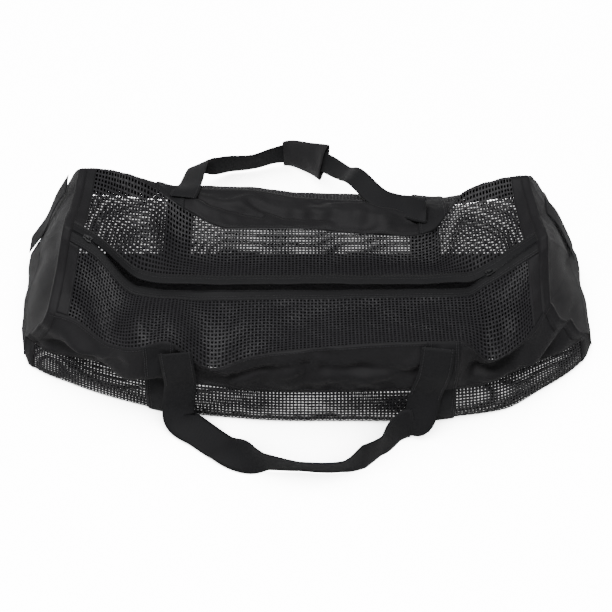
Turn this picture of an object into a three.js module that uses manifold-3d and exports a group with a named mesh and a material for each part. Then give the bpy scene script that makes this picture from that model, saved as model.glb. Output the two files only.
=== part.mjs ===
// Mesh dive gear bag: an empty barrel duffel, collapsed on the floor with its zip parted.
// Millimetres, +Z up, +X to the bag's right end, +Y to its back. Every panel is a thin closed wall
// cut from one skin, which is lofted through the bag's seams.
import * as THREE from "three";
import { mergeVertices } from "three/addons/utils/BufferGeometryUtils.js";
import Module from "manifold-3d";

const wasm = await Module();
wasm.setup();

// Driving sizes of the whole bag
const HALF_LENGTH = 460;
const DEPTH = 500;
const HEIGHT = 210;

// Cloth and net
const WALL = 2;
const SEAM_GAP = 0.7;
const SEAT_GAP = 0.4;

// Webbing: the strips stand at shares of HALF_LENGTH, where the handles join them
const WEBBING_WIDTH = 50;
const WEBBING_THICKNESS = 1.6;
const LEFT_STRIP_SHARE = -0.4826;
const RIGHT_STRIP_SHARE = 0.4478;
const GRAB_WIDTH = 38;
const GRAB_STEPS = 8;
const RIBBON_STEPS = 2;

// Zip
const TAPE_WIDTH = 18;
const SLIT_CLOSED = 0.8;
const SLIT_OPEN = 13;
const SLIT_TAPER = 60;
const LEFT_SLIDER_AT = -338;
const RIGHT_SLIDER_AT = 288;
const SLIDER_LENGTH = 15;
const SLIDER_WIDTH = 10;
const SLIDER_PLATE = 2.4;
const BRIDGE_HEIGHT = 3.6;
const BRIDGE_WIDTH = 3;
const LEFT_SLIDER_GAP = 0.1;
const RIGHT_SLIDER_GAP = 1.5;

// Nylon trim across each end of the top net, as a share of the way from the end to the strip
const TRIM_SHARE = 0.19;

// Wrap round the back handle
const GRIP_WALL = 2.2;
const GRIP_PLAY = 3;
const GRIP_HALF_DEPTH = 6.2;
const GRIP_SIDES = 14;

// Sampling of the skin
const END_STEPS = 5;
const MIDDLE_STEPS = 14;

// Room between the skin's ends and the end panels
const END_SEAT = 1.6;

const halfWall = WALL / 2;
const halfWebbing = WEBBING_THICKNESS / 2;
const stripOffset = halfWall + SEAT_GAP + halfWebbing;
const floorLevel = WEBBING_THICKNESS + SEAT_GAP + halfWall;
const leftStripAt = LEFT_STRIP_SHARE * HALF_LENGTH;
const rightStripAt = RIGHT_STRIP_SHARE * HALF_LENGTH;
const leftStripOuter = leftStripAt - WEBBING_WIDTH / 2;
const leftStripInner = leftStripAt + WEBBING_WIDTH / 2;
const rightStripInner = rightStripAt - WEBBING_WIDTH / 2;
const rightStripOuter = rightStripAt + WEBBING_WIDTH / 2;

// Seams that run the length of the bag. Each row is a section from the left end to the right end:
// along is a share of HALF_LENGTH, back a share of DEPTH, up a share of HEIGHT.
const seams = {
  zip: [
    [-0.807, 0.436, 1.0], [-0.711, 0.4, 0.905], [-0.563, 0.324, 0.667], [-0.461, 0.316, 0.638],
    [0.25, 0.316, 0.638], [0.539, 0.322, 0.643], [0.626, 0.362, 0.676], [0.726, 0.396, 0.81],
    [0.804, 0.412, 0.952],
  ],
  frontTop: [
    [-0.863, 0.248, 0.571], [-0.776, 0.214, 0.571], [-0.648, 0.108, 0.595], [-0.541, 0.07, 0.667],
    [-0.459, 0.076, 0.714], [-0.309, 0.044, 0.5], [-0.174, 0.052, 0.62], [-0.013, 0.056, 0.69],
    [0.307, 0.07, 0.724], [0.505, 0.074, 0.724], [0.605, 0.045, 0.59], [0.707, 0.108, 0.595],
    [0.817, 0.264, 0.595],
  ],
  frontBandLow: [
    [-0.974, 0.292, 0.143], [-0.883, 0.21, 0.19], [-0.7, 0.15, 0.276], [-0.539, 0.09, 0.314],
    [-0.387, 0.05, 0.314], [-0.087, 0.02, 0.305], [0.313, 0.022, 0.305], [0.548, 0.036, 0.305],
    [0.722, 0.11, 0.295], [0.93, 0.236, 0.214], [0.985, 0.3, 0.143],
  ],
  frontFloor: [
    [-0.985, 0.264, 0], [-0.967, 0.225, 0], [-0.817, 0.148, 0], [-0.641, 0.084, 0], [-0.415, 0.03, 0],
    [-0.02, 0, 0], [0.34, 0, 0], [0.513, 0.018, 0], [0.672, 0.044, 0], [0.807, 0.12, 0],
    [0.974, 0.244, 0], [1.004, 0.306, 0],
  ],
  bottomFront: [[-1.006, 0.36, 0], [-0.6, 0.24, 0], [0, 0.2, 0], [0.6, 0.24, 0], [1.006, 0.36, 0]],
  bottomBack: [[-1.012, 0.7, 0], [-0.6, 0.7, 0], [0, 0.7, 0], [0.6, 0.7, 0], [0.99, 0.7, 0]],
  backFloor: [
    [-0.935, 0.96, 0], [-0.85, 0.99, 0], [-0.5, 0.96, 0], [0, 0.935, 0], [0.5, 0.935, 0],
    [0.83, 0.975, 0], [0.92, 0.95, 0],
  ],
  backBandLow: [
    [-0.87, 0.824, 0.43], [-0.78, 0.83, 0.43], [-0.643, 0.83, 0.44], [-0.5, 0.785, 0.54],
    [-0.383, 0.75, 0.629], [-0.213, 0.745, 0.629], [-0.022, 0.712, 0.62], [0.193, 0.698, 0.62],
    [0.463, 0.69, 0.6], [0.591, 0.74, 0.56], [0.67, 0.775, 0.49], [0.763, 0.8, 0.44],
    [0.86, 0.8, 0.43],
  ],
  backTop: [
    [-0.787, 0.714, 0.933], [-0.728, 0.73, 0.895], [-0.637, 0.726, 0.848], [-0.541, 0.708, 0.752],
    [-0.491, 0.682, 0.705], [-0.428, 0.64, 0.676], [-0.267, 0.562, 0.657], [-0.022, 0.562, 0.657],
    [0.137, 0.544, 0.657], [0.363, 0.53, 0.657], [0.44, 0.545, 0.667], [0.496, 0.608, 0.705],
    [0.561, 0.672, 0.786], [0.63, 0.682, 0.848], [0.696, 0.688, 0.895], [0.77, 0.682, 0.933],
  ],
};

// Panels in order round the section, down the front, over the floor and up the back.
// Each belly row is along, as a share of HALF_LENGTH, and how far the panel's middle
// stands out of the straight line between its seams, as a share of HEIGHT.
const panels = [
  { name: "zip_tape_front", from: "slitFront", to: "tapeFront", steps: 1, belly: [[0, 0]] },
  { name: "front_top_mesh", from: "tapeFront", to: "frontTop", steps: 3,
    belly: [[-0.8, -0.05], [-0.55, 0.02], [-0.31, 0.04], [0, -0.03], [0.5, -0.02], [0.58, 0.03],
      [0.8, -0.04]] },
  { name: "front_side_band", from: "frontTop", to: "frontBandLow", steps: 3,
    belly: [[-0.9, 0.05], [-0.6, 0.07], [-0.31, -0.04], [0, 0.03], [0.5, 0.05], [0.57, -0.05],
      [0.9, 0.07]] },
  { name: "front_lower_mesh", from: "frontBandLow", to: "frontFloor", steps: 2,
    belly: [[-1, 0.03], [-0.5, 0.03], [0, 0.02], [0.5, 0.03], [1, 0.03]] },
  { name: "front_lower_mesh", from: "frontFloor", to: "bottomFront", steps: 2, belly: [[0, 0]] },
  { name: "bottom_panel", from: "bottomFront", to: "bottomBack", steps: 2, belly: [[0, 0]] },
  { name: "back_lower_mesh", from: "bottomBack", to: "backFloor", steps: 2, belly: [[0, 0]] },
  { name: "back_lower_mesh", from: "backFloor", to: "backBandLow", steps: 4,
    belly: [[-0.9, 0.05], [-0.6, 0.05], [-0.3, 0.07], [0.3, 0.07], [0.6, 0.05], [0.9, 0.05]] },
  { name: "back_side_band", from: "backBandLow", to: "backTop", steps: 3,
    belly: [[-0.9, 0.05], [-0.5, 0.05], [-0.3, 0.02], [-0.1, -0.03], [0.15, 0.04], [0.4, 0.02], [0.9, 0.06]] },
  { name: "back_top_mesh", from: "backTop", to: "tapeBack", steps: 3,
    belly: [[-0.8, -0.04], [-0.5, -0.08], [0, -0.05], [0.5, -0.08], [0.8, -0.04]] },
  { name: "zip_tape_back", from: "tapeBack", to: "slitBack", steps: 1, belly: [[0, 0]] },
];

// Large folds of the cloth. panel and the two ends, each as along and the share of the way across the
// panel, then half the fold's width and its lift, both in shares of HEIGHT.
const folds = [
  { panel: 2, start: [-0.84, 0.15], end: [-0.52, 0.75], width: 0.11, lift: 0.07 },
  { panel: 2, start: [-0.86, 0.75], end: [-0.62, 0.35], width: 0.1, lift: -0.05 },
  { panel: 2, start: [0.6, 0.75], end: [0.84, 0.2], width: 0.11, lift: 0.08 },
  { panel: 2, start: [0.72, 0.95], end: [0.93, 0.5], width: 0.1, lift: -0.05 },
  { panel: 2, start: [-0.3, 0.1], end: [-0.05, 0.35], width: 0.1, lift: 0.05 },
  { panel: 8, start: [-0.38, 0.7], end: [-0.18, 0.2], width: 0.1, lift: 0.04 },
  { panel: 8, start: [0.02, 0.45], end: [0.3, 0.7], width: 0.1, lift: 0.05 },
  { panel: 9, start: [-0.56, 0.1], end: [-0.5, 0.9], width: 0.12, lift: 0.06 },
  { panel: 9, start: [0.52, 0.1], end: [0.58, 0.9], width: 0.12, lift: 0.06 },
  { panel: 1, start: [-0.56, 0.1], end: [-0.55, 0.9], width: 0.1, lift: 0.05 },
];

// Steady curve through rows of [at, value...], without overshoot between rows
function follow(rows, at, column) {
  const last = rows.length - 1;
  if (last === 0 || at <= rows[0][0]) return rows[0][column];
  if (at >= rows[last][0]) return rows[last][column];
  let k = 0;
  while (at > rows[k + 1][0]) k += 1;
  const slope = (i) => (rows[i + 1][column] - rows[i][column]) / (rows[i + 1][0] - rows[i][0]);
  const tangent = (i) => {
    if (i === 0) return slope(0);
    if (i === last) return slope(last - 1);
    const before = slope(i - 1);
    const after = slope(i);
    return before * after <= 0 ? 0 : (2 * before * after) / (before + after);
  };
  const span = rows[k + 1][0] - rows[k][0];
  const t = (at - rows[k][0]) / span;
  const start = rows[k][column] * (1 + 2 * t) * (1 - t) * (1 - t);
  const end = rows[k + 1][column] * t * t * (3 - 2 * t);
  const lean = span * (tangent(k) * t * (1 - t) * (1 - t) - tangent(k + 1) * t * t * (1 - t));
  return start + end + lean;
}

// Sections of the skin: a zone and a share of the way through it, or a place along the bag
function sectionList() {
  const sections = [{ zone: "left", share: 0 }];
  for (let i = 0; i < END_STEPS; i += 1) {
    sections.push({ zone: "left", share: TRIM_SHARE + (1 - TRIM_SHARE) * (i / END_STEPS) });
  }
  sections.push({ along: leftStripOuter }, { along: leftStripAt });
  for (let i = 0; i <= MIDDLE_STEPS; i += 1) {
    sections.push({ along: leftStripInner + (rightStripInner - leftStripInner) * (i / MIDDLE_STEPS) });
  }
  sections.push({ along: rightStripAt }, { along: rightStripOuter });
  for (let i = END_STEPS - 1; i >= 0; i -= 1) {
    sections.push({ zone: "right", share: TRIM_SHARE + (1 - TRIM_SHARE) * (i / END_STEPS) });
  }
  sections.push({ zone: "right", share: 0 });
  return sections;
}

function seamPoint(rows, section) {
  let x = section.along;
  if (section.zone === "left") {
    x = THREE.MathUtils.lerp(rows[0][0] * HALF_LENGTH, leftStripOuter, section.share);
  }
  if (section.zone === "right") {
    x = THREE.MathUtils.lerp(rows[rows.length - 1][0] * HALF_LENGTH, rightStripOuter, section.share);
  }
  const at = x / HALF_LENGTH;
  return new THREE.Vector3(x, follow(rows, at, 1) * DEPTH, floorLevel + follow(rows, at, 2) * HEIGHT);
}

// Width of the slit between the zip tapes
function slitWidth(x) {
  const inside = Math.min(x - LEFT_SLIDER_AT, RIGHT_SLIDER_AT - x);
  return SLIT_CLOSED + (SLIT_OPEN - SLIT_CLOSED) * THREE.MathUtils.smoothstep(inside, 0, SLIT_TAPER);
}

// The seams' points at one section, with the four edges of the two zip tapes
function seamPoints(section) {
  const points = {};
  for (const [name, rows] of Object.entries(seams)) points[name] = seamPoint(rows, section);
  const halfSlit = slitWidth(points.zip.x) / 2;
  for (const [side, seam] of [["Front", "frontTop"], ["Back", "backTop"]]) {
    const outward = points[seam].clone().sub(points.zip).normalize();
    points["slit" + side] = points.zip.clone().addScaledVector(outward, halfSlit);
    points["tape" + side] = points.zip.clone().addScaledVector(outward, halfSlit + TAPE_WIDTH);
  }
  return points;
}

// Height of the folds of one panel at a place along the bag and across the panel
function foldLift(panelIndex, along, across, panelWidth) {
  let lift = 0;
  for (const fold of folds) {
    if (fold.panel !== panelIndex) continue;
    const start = new THREE.Vector2(fold.start[0] * HALF_LENGTH, fold.start[1] * panelWidth);
    const end = new THREE.Vector2(fold.end[0] * HALF_LENGTH, fold.end[1] * panelWidth);
    const here = new THREE.Vector2(along, across * panelWidth);
    const line = end.clone().sub(start);
    const share = THREE.MathUtils.clamp(here.clone().sub(start).dot(line) / line.lengthSq(), 0, 1);
    const away = here.distanceTo(start.addScaledVector(line, share)) / (fold.width * HEIGHT);
    lift += fold.lift * HEIGHT * Math.exp(-away * away);
  }
  return lift * Math.min(1, 4 * across * (1 - across));
}

// One section of the skin, from the front edge of the slit all round to its back edge
function skinSection(section) {
  const corners = seamPoints(section);
  const ring = [];
  panels.forEach((panel, index) => {
    const from = corners[panel.from];
    const to = corners[panel.to];
    const chord = to.clone().sub(from);
    const out = new THREE.Vector3(1, 0, 0).cross(chord).normalize().negate();
    const lastPanel = index === panels.length - 1;
    for (let j = 0; j < panel.steps + (lastPanel ? 1 : 0); j += 1) {
      const across = j / panel.steps;
      const point = from.clone().lerp(to, across);
      const belly = follow(panel.belly, point.x / HALF_LENGTH, 1) * HEIGHT;
      const rise = belly * 4 * across * (1 - across) + foldLift(index, point.x, across, chord.length());
      ring.push(point.addScaledVector(out, rise));
    }
  });
  return ring;
}

// Outward normals of a grid of points, worked out across its neighbours
function gridNormals(grid) {
  const lastRow = grid.length - 1;
  return grid.map((row, i) => row.map((point, j) => {
    const lengthwise = grid[Math.min(i + 1, lastRow)][j].clone().sub(grid[Math.max(i - 1, 0)][j]);
    const lastColumn = row.length - 1;
    const ahead = row[Math.min(j + 1, lastColumn)].clone().sub(point);
    const behind = point.clone().sub(row[Math.max(j - 1, 0)]);
    const crosswise = new THREE.Vector3();
    if (ahead.lengthSq() > 0) crosswise.add(ahead.normalize());
    if (behind.lengthSq() > 0) crosswise.add(behind.normalize());
    return crosswise.cross(lengthwise).normalize();
  }));
}

// Closed wall from a grid of middle points: two faces half a thickness either side, and four edges
function wallGeometry(grid, normals, halfThickness) {
  const rows = grid.length;
  const columns = grid[0].length;
  const positions = [];
  for (const side of [1, -1]) {
    for (let i = 0; i < rows; i += 1) {
      for (let j = 0; j < columns; j += 1) {
        const point = grid[i][j].clone().addScaledVector(normals[i][j], side * halfThickness);
        positions.push(point.x, point.y, point.z);
      }
    }
  }
  const outer = (i, j) => i * columns + j;
  const inner = (i, j) => rows * columns + i * columns + j;
  const index = [];
  const quad = (a, b, c, d) => index.push(a, b, c, a, c, d);
  for (let i = 0; i < rows - 1; i += 1) {
    for (let j = 0; j < columns - 1; j += 1) {
      quad(outer(i, j), outer(i, j + 1), outer(i + 1, j + 1), outer(i + 1, j));
      quad(inner(i, j), inner(i + 1, j), inner(i + 1, j + 1), inner(i, j + 1));
    }
  }
  for (let i = 0; i < rows - 1; i += 1) {
    quad(outer(i, 0), outer(i + 1, 0), inner(i + 1, 0), inner(i, 0));
    quad(outer(i + 1, columns - 1), outer(i, columns - 1), inner(i, columns - 1), inner(i + 1, columns - 1));
  }
  for (let j = 0; j < columns - 1; j += 1) {
    quad(outer(0, j + 1), outer(0, j), inner(0, j), inner(0, j + 1));
    quad(outer(rows - 1, j), outer(rows - 1, j + 1), inner(rows - 1, j + 1), inner(rows - 1, j));
  }
  return facingOut(closedGeometry(positions, index));
}

function closedGeometry(positions, index) {
  const geometry = new THREE.BufferGeometry();
  geometry.setAttribute("position", new THREE.Float32BufferAttribute(positions, 3));
  geometry.setIndex(index);
  return geometry;
}

// Turns every face round if the closed shape came out inside out
function facingOut(geometry) {
  const position = geometry.getAttribute("position");
  const index = geometry.getIndex().array;
  const [a, b, c] = [new THREE.Vector3(), new THREE.Vector3(), new THREE.Vector3()];
  let volume = 0;
  for (let k = 0; k < index.length; k += 3) {
    a.fromBufferAttribute(position, index[k]);
    b.fromBufferAttribute(position, index[k + 1]);
    c.fromBufferAttribute(position, index[k + 2]);
    volume += a.dot(b.cross(c));
  }
  if (volume < 0) {
    for (let k = 0; k < index.length; k += 3) [index[k + 1], index[k + 2]] = [index[k + 2], index[k + 1]];
  }
  return geometry;
}

// Materials
const cloth = (color, roughness) => new THREE.MeshStandardMaterial({ color, roughness, metalness: 0 });
const finishes = {
  nylon: () => cloth(0x151517, 0.62),
  net: () => cloth(0x101011, 0.7),
  webbing: () => cloth(0x17171a, 0.78),
  tape: () => cloth(0x0f0f12, 0.5),
  wrap: () => cloth(0x1b1b1d, 0.85),
  slider: () => new THREE.MeshStandardMaterial({ color: 0x2a2a2c, roughness: 0.35, metalness: 0.8 }),
};

const bag = new THREE.Group();

function addPiece(name, geometry, finish) {
  const mesh = new THREE.Mesh(geometry, finishes[finish]());
  mesh.name = name;
  bag.add(mesh);
  return mesh;
}

// The whole skin as one grid, a row for each section
const sections = sectionList();
const skin = sections.map(skinSection);
const skinNormals = gridNormals(skin);
const lastSection = sections.length - 1;

// First column of each panel in the skin's grid, and one past the last panel
const firstColumn = [0];
for (const panel of panels) firstColumn.push(firstColumn[firstColumn.length - 1] + panel.steps);

// A piece of the skin between two sections and two columns, drawn in from its seams by half a gap
function skinPiece(fromRow, toRow, fromColumn, toColumn) {
  const part = (rows) => rows.slice(fromRow, toRow + 1).map((row) => row.slice(fromColumn, toColumn + 1));
  const grid = part(skin).map((row) => row.map((point) => point.clone()));
  const normals = part(skinNormals);
  const drawIn = (edge, next) => {
    const step = next.clone().sub(edge).normalize().multiplyScalar(SEAM_GAP / 2);
    edge.add(step);
  };
  const columns = grid[0].length;
  for (const row of grid) {
    const second = row[1].clone();
    drawIn(row[0], second);
    drawIn(row[columns - 1], columns === 2 ? row[0] : row[columns - 2]);
  }
  for (let j = 0; j < columns; j += 1) {
    drawIn(grid[0][j], grid[1][j]);
    drawIn(grid[grid.length - 1][j], grid[grid.length - 2][j]);
  }
  return wallGeometry(grid, normals, halfWall);
}

function columnsOf(name) {
  const used = panels.map((panel, index) => (panel.name === name ? index : -1)).filter((index) => index >= 0);
  return [firstColumn[used[0]], firstColumn[used[used.length - 1] + 1]];
}

// Panels that run the whole length
const fullPanels = [
  ["zip_tape_front", "tape"],
  ["front_side_band", "nylon"],
  ["front_lower_mesh", "net"],
  ["bottom_panel", "nylon"],
  ["back_lower_mesh", "net"],
  ["back_side_band", "nylon"],
  ["zip_tape_back", "tape"],
];
for (const [name, finish] of fullPanels) {
  addPiece(name, skinPiece(0, lastSection, ...columnsOf(name)), finish);
}

// Top net, with a nylon trim across each of its ends
for (const side of ["front", "back"]) {
  const columns = columnsOf(side + "_top_mesh");
  addPiece(side + "_top_mesh", skinPiece(1, lastSection - 1, ...columns), "net");
  addPiece("left_" + side + "_trim", skinPiece(0, 1, ...columns), "nylon");
  addPiece("right_" + side + "_trim", skinPiece(lastSection - 1, lastSection, ...columns), "nylon");
}

// End panels: rings drawn in from the end section to the panel's middle.
// Each row is the share of the way out from the middle and how far the cloth stands out there.
const endRings = [
  [1, 0],
  [0.8, 0.012],
  [0.5, 0.03],
  [0.2, 0.04],
];

function endPanel(row, direction) {
  const edge = skin[row];
  const middle = new THREE.Vector3();
  for (const point of edge) middle.addScaledVector(point, 1 / edge.length);
  const seat = direction * (halfWall + END_SEAT);
  const rings = endRings.map(([share, out]) => edge.map((point) => {
    const moved = middle.clone().lerp(point, share);
    moved.x += seat + direction * out * HALF_LENGTH;
    return moved;
  }));
  const hub = middle.clone();
  hub.x += seat + direction * endRings[endRings.length - 1][1] * HALF_LENGTH;
  return { rings, hub };
}

// Closed plate over rings of points that share a hub, a wall thick along the bag
function plateGeometry({ rings, hub }) {
  const count = rings[0].length;
  const positions = [];
  for (const side of [halfWall, -halfWall]) {
    for (const ring of rings) for (const p of ring) positions.push(p.x + side, p.y, p.z);
    positions.push(hub.x + side, hub.y, hub.z);
  }
  const perSide = rings.length * count + 1;
  const at = (side, r, j) => side * perSide + r * count + (j % count);
  const index = [];
  for (let j = 0; j < count; j += 1) {
    for (let r = 0; r < rings.length - 1; r += 1) {
      index.push(at(0, r, j), at(0, r, j + 1), at(0, r + 1, j + 1));
      index.push(at(0, r, j), at(0, r + 1, j + 1), at(0, r + 1, j));
      index.push(at(1, r, j), at(1, r + 1, j + 1), at(1, r, j + 1));
      index.push(at(1, r, j), at(1, r + 1, j), at(1, r + 1, j + 1));
    }
    const last = rings.length - 1;
    index.push(at(0, last, j), at(0, last, j + 1), perSide - 1);
    index.push(at(1, last, j + 1), at(1, last, j), 2 * perSide - 1);
    index.push(at(0, 0, j + 1), at(0, 0, j), at(1, 0, j));
    index.push(at(0, 0, j + 1), at(1, 0, j), at(1, 0, j + 1));
  }
  return facingOut(closedGeometry(positions, index));
}

const endPanels = { left: endPanel(0, -1), right: endPanel(lastSection, 1) };
addPiece("left_end_panel", plateGeometry(endPanels.left), "nylon");
addPiece("right_end_panel", plateGeometry(endPanels.right), "nylon");

// Webbing strips: down the front over the band and the net, under the floor and up the back
function strip(place) {
  const middle = sections.findIndex((section) => section.along === place);
  const [from] = columnsOf("front_side_band");
  const [, to] = columnsOf("back_side_band");
  const rows = [middle - 1, middle, middle + 1];
  const grid = rows.map((row) => skin[row].slice(from, to + 1).map((point, j) => (
    point.clone().addScaledVector(skinNormals[row][from + j], stripOffset))));
  const normals = rows.map((row) => skinNormals[row].slice(from, to + 1));
  return wallGeometry(grid, normals, halfWebbing);
}
addPiece("left_strip", strip(leftStripAt), "webbing");
addPiece("right_strip", strip(rightStripAt), "webbing");

// Webbing ribbons, a row for each bend. A row lies on the skin, at along as a share of HALF_LENGTH and
// a column counted from the front band's top seam, and stands off it; or it is free, at along, back and
// up in shares of HALF_LENGTH, DEPTH and HEIGHT. across is the way the width points, wide a share of
// WEBBING_WIDTH.
const frontHandleRows = [
  { on: [-0.428, 0.4], stand: 1.2, across: [1, 0, -0.1], wide: 1 },
  { on: [-0.415, 1.5], stand: 5.5, across: [1, 0, 0], wide: 1 },
  { on: [-0.413, 3], stand: 4, across: [1, 0, 0], wide: 1 },
  { on: [-0.425, 4.2], stand: 3.5, across: [1, 0, 0], wide: 1 },
  { at: [-0.425, -0.014, 0.085], across: [1, 0.15, 0.1], wide: 1 },
  { at: [-0.36, -0.05, 0.03], across: [0.75, 0.65, 0.05], wide: 1 },
  { at: [-0.28, -0.105, 0.024], across: [0.8, 0.58, 0.05], wide: 1 },
  { at: [-0.2, -0.158, 0.09], across: [0.4, 0.5, 0.75], wide: 1 },
  { at: [-0.13, -0.185, 0.128], across: [0.05, -0.1, 0.98], wide: 1 },
  { at: [-0.02, -0.2, 0.12], across: [0, -0.3, 0.95], wide: 1 },
  { at: [0.12, -0.2, 0.12], across: [0, -0.25, 0.95], wide: 1 },
  { at: [0.19, -0.165, 0.12], across: [-0.2, 0.1, 0.9], wide: 1 },
  { at: [0.25, -0.125, 0.12], across: [-0.3, -0.25, 0.9], wide: 1 },
  { at: [0.3, -0.068, 0.12], across: [-0.55, -0.15, 0.8], wide: 1 },
  { at: [0.335, -0.05, 0.14], across: [-0.9, 0, 0.4], wide: 1 },
  { on: [0.368, 4.2], stand: 11, across: [-1, 0, 0.1], wide: 1 },
  { on: [0.395, 3], stand: 4, across: [-1, 0, 0.05], wide: 1 },
  { on: [0.42, 1.5], stand: 2.5, across: [-1, 0, 0], wide: 1 },
  { on: [0.434, 0.3], stand: 0.6, across: [-1, 0, 0], wide: 1 },
];
const backHandleRows = [
  { on: [-0.435, 17.3], stand: 1.5, across: [1, 0, 0], wide: 0.9 },
  { on: [-0.425, 16], stand: 2, across: [1, 0, 0], wide: 0.9 },
  { on: [-0.415, 14.6], stand: 3, across: [1, 0.1, 0.15], wide: 0.8 },
  { at: [-0.405, 0.96, 0.42], across: [0.9, 0.3, 0.15], wide: 0.7 },
  { at: [-0.395, 1.05, 0.22], across: [0.8, 0.3, 0.4], wide: 0.7 },
  { at: [-0.35, 1.08, 0.13], across: [0.4, 0.2, 0.8], wide: 0.8 },
  { at: [-0.3, 1.095, 0.12], across: [0.1, -0.1, 0.95], wide: 0.9 },
  { at: [-0.21, 1.105, 0.12], across: [0, -0.2, 0.95], wide: 0.9 },
  { at: [-0.12, 1.14, 0.12], across: [0, 0, 0.95], wide: 0.8 },
  { at: [-0.06, 1.15, 0.12], across: [0, 0.4, 0.87], wide: 0.7 },
  { at: [0.01, 1.115, 0.15], across: [0.05, 0.6, 0.75], wide: 0.7 },
  { at: [0.07, 1.05, 0.24], across: [0.15, 0.7, 0.6], wide: 0.7 },
  { at: [0.14, 0.9, 0.47], across: [0.6, 0.6, 0.3], wide: 0.6 },
  { at: [0.18, 0.77, 0.73], across: [0.6, 0.7, 0.25], wide: 0.7 },
  { on: [0.25, 15.5], stand: 6.5, across: [0.35, 0.9, 0.1], wide: 0.8 },
  { on: [0.34, 15.9], stand: 4.5, across: [0.05, 1, 0.05], wide: 0.85 },
  { on: [0.4, 16.4], stand: 6, across: [-0.25, 1, 0.05], wide: 0.85 },
  { on: [0.436, 16.7], stand: 9, across: [-0.6, 0.8, 0.05], wide: 0.9 },
];

// Place on the skin at x between its sections and a column counted from the front band's top seam,
// lifted clear of a webbing strip by so many of the webbing's own thicknesses
function overStrip(x, column, stand) {
  const [first] = columnsOf("front_side_band");
  const j = first + Math.floor(column);
  const across = column - Math.floor(column);
  let i = sections.findIndex((section) => section.along === leftStripOuter);
  while (sections[i + 1].along < x) i += 1;
  const along = (x - sections[i].along) / (sections[i + 1].along - sections[i].along);
  const blend = (grid) => grid[i][j].clone().lerp(grid[i][j + 1], across)
    .lerp(grid[i + 1][j].clone().lerp(grid[i + 1][j + 1], across), along);
  const out = blend(skinNormals).normalize();
  return blend(skin).addScaledVector(out, stripOffset + WEBBING_THICKNESS * (1 + stand) + SEAT_GAP);
}

// Middle points and width directions of a ribbon, smooth through its rows
function ribbonPath(rows, width) {
  const places = rows.map(({ on, at, stand }) => (on ? overStrip(on[0] * HALF_LENGTH, on[1], stand) : (
    new THREE.Vector3(at[0] * HALF_LENGTH, at[1] * DEPTH, at[2] * HEIGHT))));
  const centres = new THREE.CatmullRomCurve3(places, false, "centripetal");
  const acrossAt = (k) => new THREE.Vector3(...rows[k].across).normalize();
  const stops = (rows.length - 1) * RIBBON_STEPS;
  const path = [];
  for (let i = 0; i <= stops; i += 1) {
    const place = i / RIBBON_STEPS;
    const k = Math.min(Math.floor(place), rows.length - 2);
    const share = place - k;
    const across = acrossAt(k).lerp(acrossAt(k + 1), share).normalize();
    const tangent = centres.getTangent(place / (rows.length - 1));
    across.addScaledVector(tangent, -across.dot(tangent)).normalize();
    path.push({
      centre: centres.getPoint(place / (rows.length - 1)),
      across,
      normal: across.clone().cross(tangent).normalize(),
      half: (THREE.MathUtils.lerp(rows[k].wide, rows[k + 1].wide, share) * width) / 2,
    });
  }
  return path;
}

function ribbonGeometry(path, halfThickness) {
  const grid = path.map((stop) => [-1, 1].map((side) => (
    stop.centre.clone().addScaledVector(stop.across, side * stop.half))));
  const normals = path.map((stop) => [stop.normal, stop.normal]);
  return wallGeometry(grid, normals, halfThickness);
}

addPiece("front_handle", ribbonGeometry(ribbonPath(frontHandleRows, WEBBING_WIDTH), halfWebbing), "webbing");
const backHandlePath = ribbonPath(backHandleRows, WEBBING_WIDTH);
addPiece("back_handle", ribbonGeometry(backHandlePath, halfWebbing), "webbing");

// Wrap round the back handle: a flat sleeve, wider at its right end.
// Each row is a stop on the handle's path, and how far the sleeve's side stands out past the webbing
// there, as a share of WEBBING_WIDTH.
const gripRows = [
  [17, 0.02],
  [18, 0.04],
  [19, 0.06],
  [20, 0.09],
  [21, 0.14],
  [22, 0.2],
];
function gripGeometry() {
  const rings = gripRows.map(([stop, wide]) => {
    const { centre, across, normal, half } = backHandlePath[stop];
    const halfWidth = half + GRIP_WALL + GRIP_PLAY + wide * WEBBING_WIDTH;
    const section = (inset) => {
      const ring = [];
      for (let k = 0; k < GRIP_SIDES; k += 1) {
        const angle = (2 * Math.PI * k) / GRIP_SIDES;
        ring.push(centre.clone()
          .addScaledVector(across, Math.cos(angle) * (halfWidth - inset))
          .addScaledVector(normal, Math.sin(angle) * (GRIP_HALF_DEPTH - inset)));
      }
      return ring;
    };
    return [section(0), section(GRIP_WALL)];
  });
  const positions = [];
  for (const pair of rings) for (const ring of pair) for (const p of ring) positions.push(p.x, p.y, p.z);
  const at = (stop, side, k) => (stop * 2 + side) * GRIP_SIDES + (k % GRIP_SIDES);
  const index = [];
  const quad = (a, b, c, d) => index.push(a, b, c, a, c, d);
  const last = rings.length - 1;
  for (let k = 0; k < GRIP_SIDES; k += 1) {
    for (let s = 0; s < last; s += 1) {
      quad(at(s, 0, k), at(s, 0, k + 1), at(s + 1, 0, k + 1), at(s + 1, 0, k));
      quad(at(s, 1, k), at(s + 1, 1, k), at(s + 1, 1, k + 1), at(s, 1, k + 1));
    }
    quad(at(0, 0, k + 1), at(0, 0, k), at(0, 1, k), at(0, 1, k + 1));
    quad(at(last, 0, k), at(last, 0, k + 1), at(last, 1, k + 1), at(last, 1, k));
  }
  return facingOut(closedGeometry(positions, index));
}
addPiece("handle_grip", gripGeometry(), "wrap");

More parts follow.
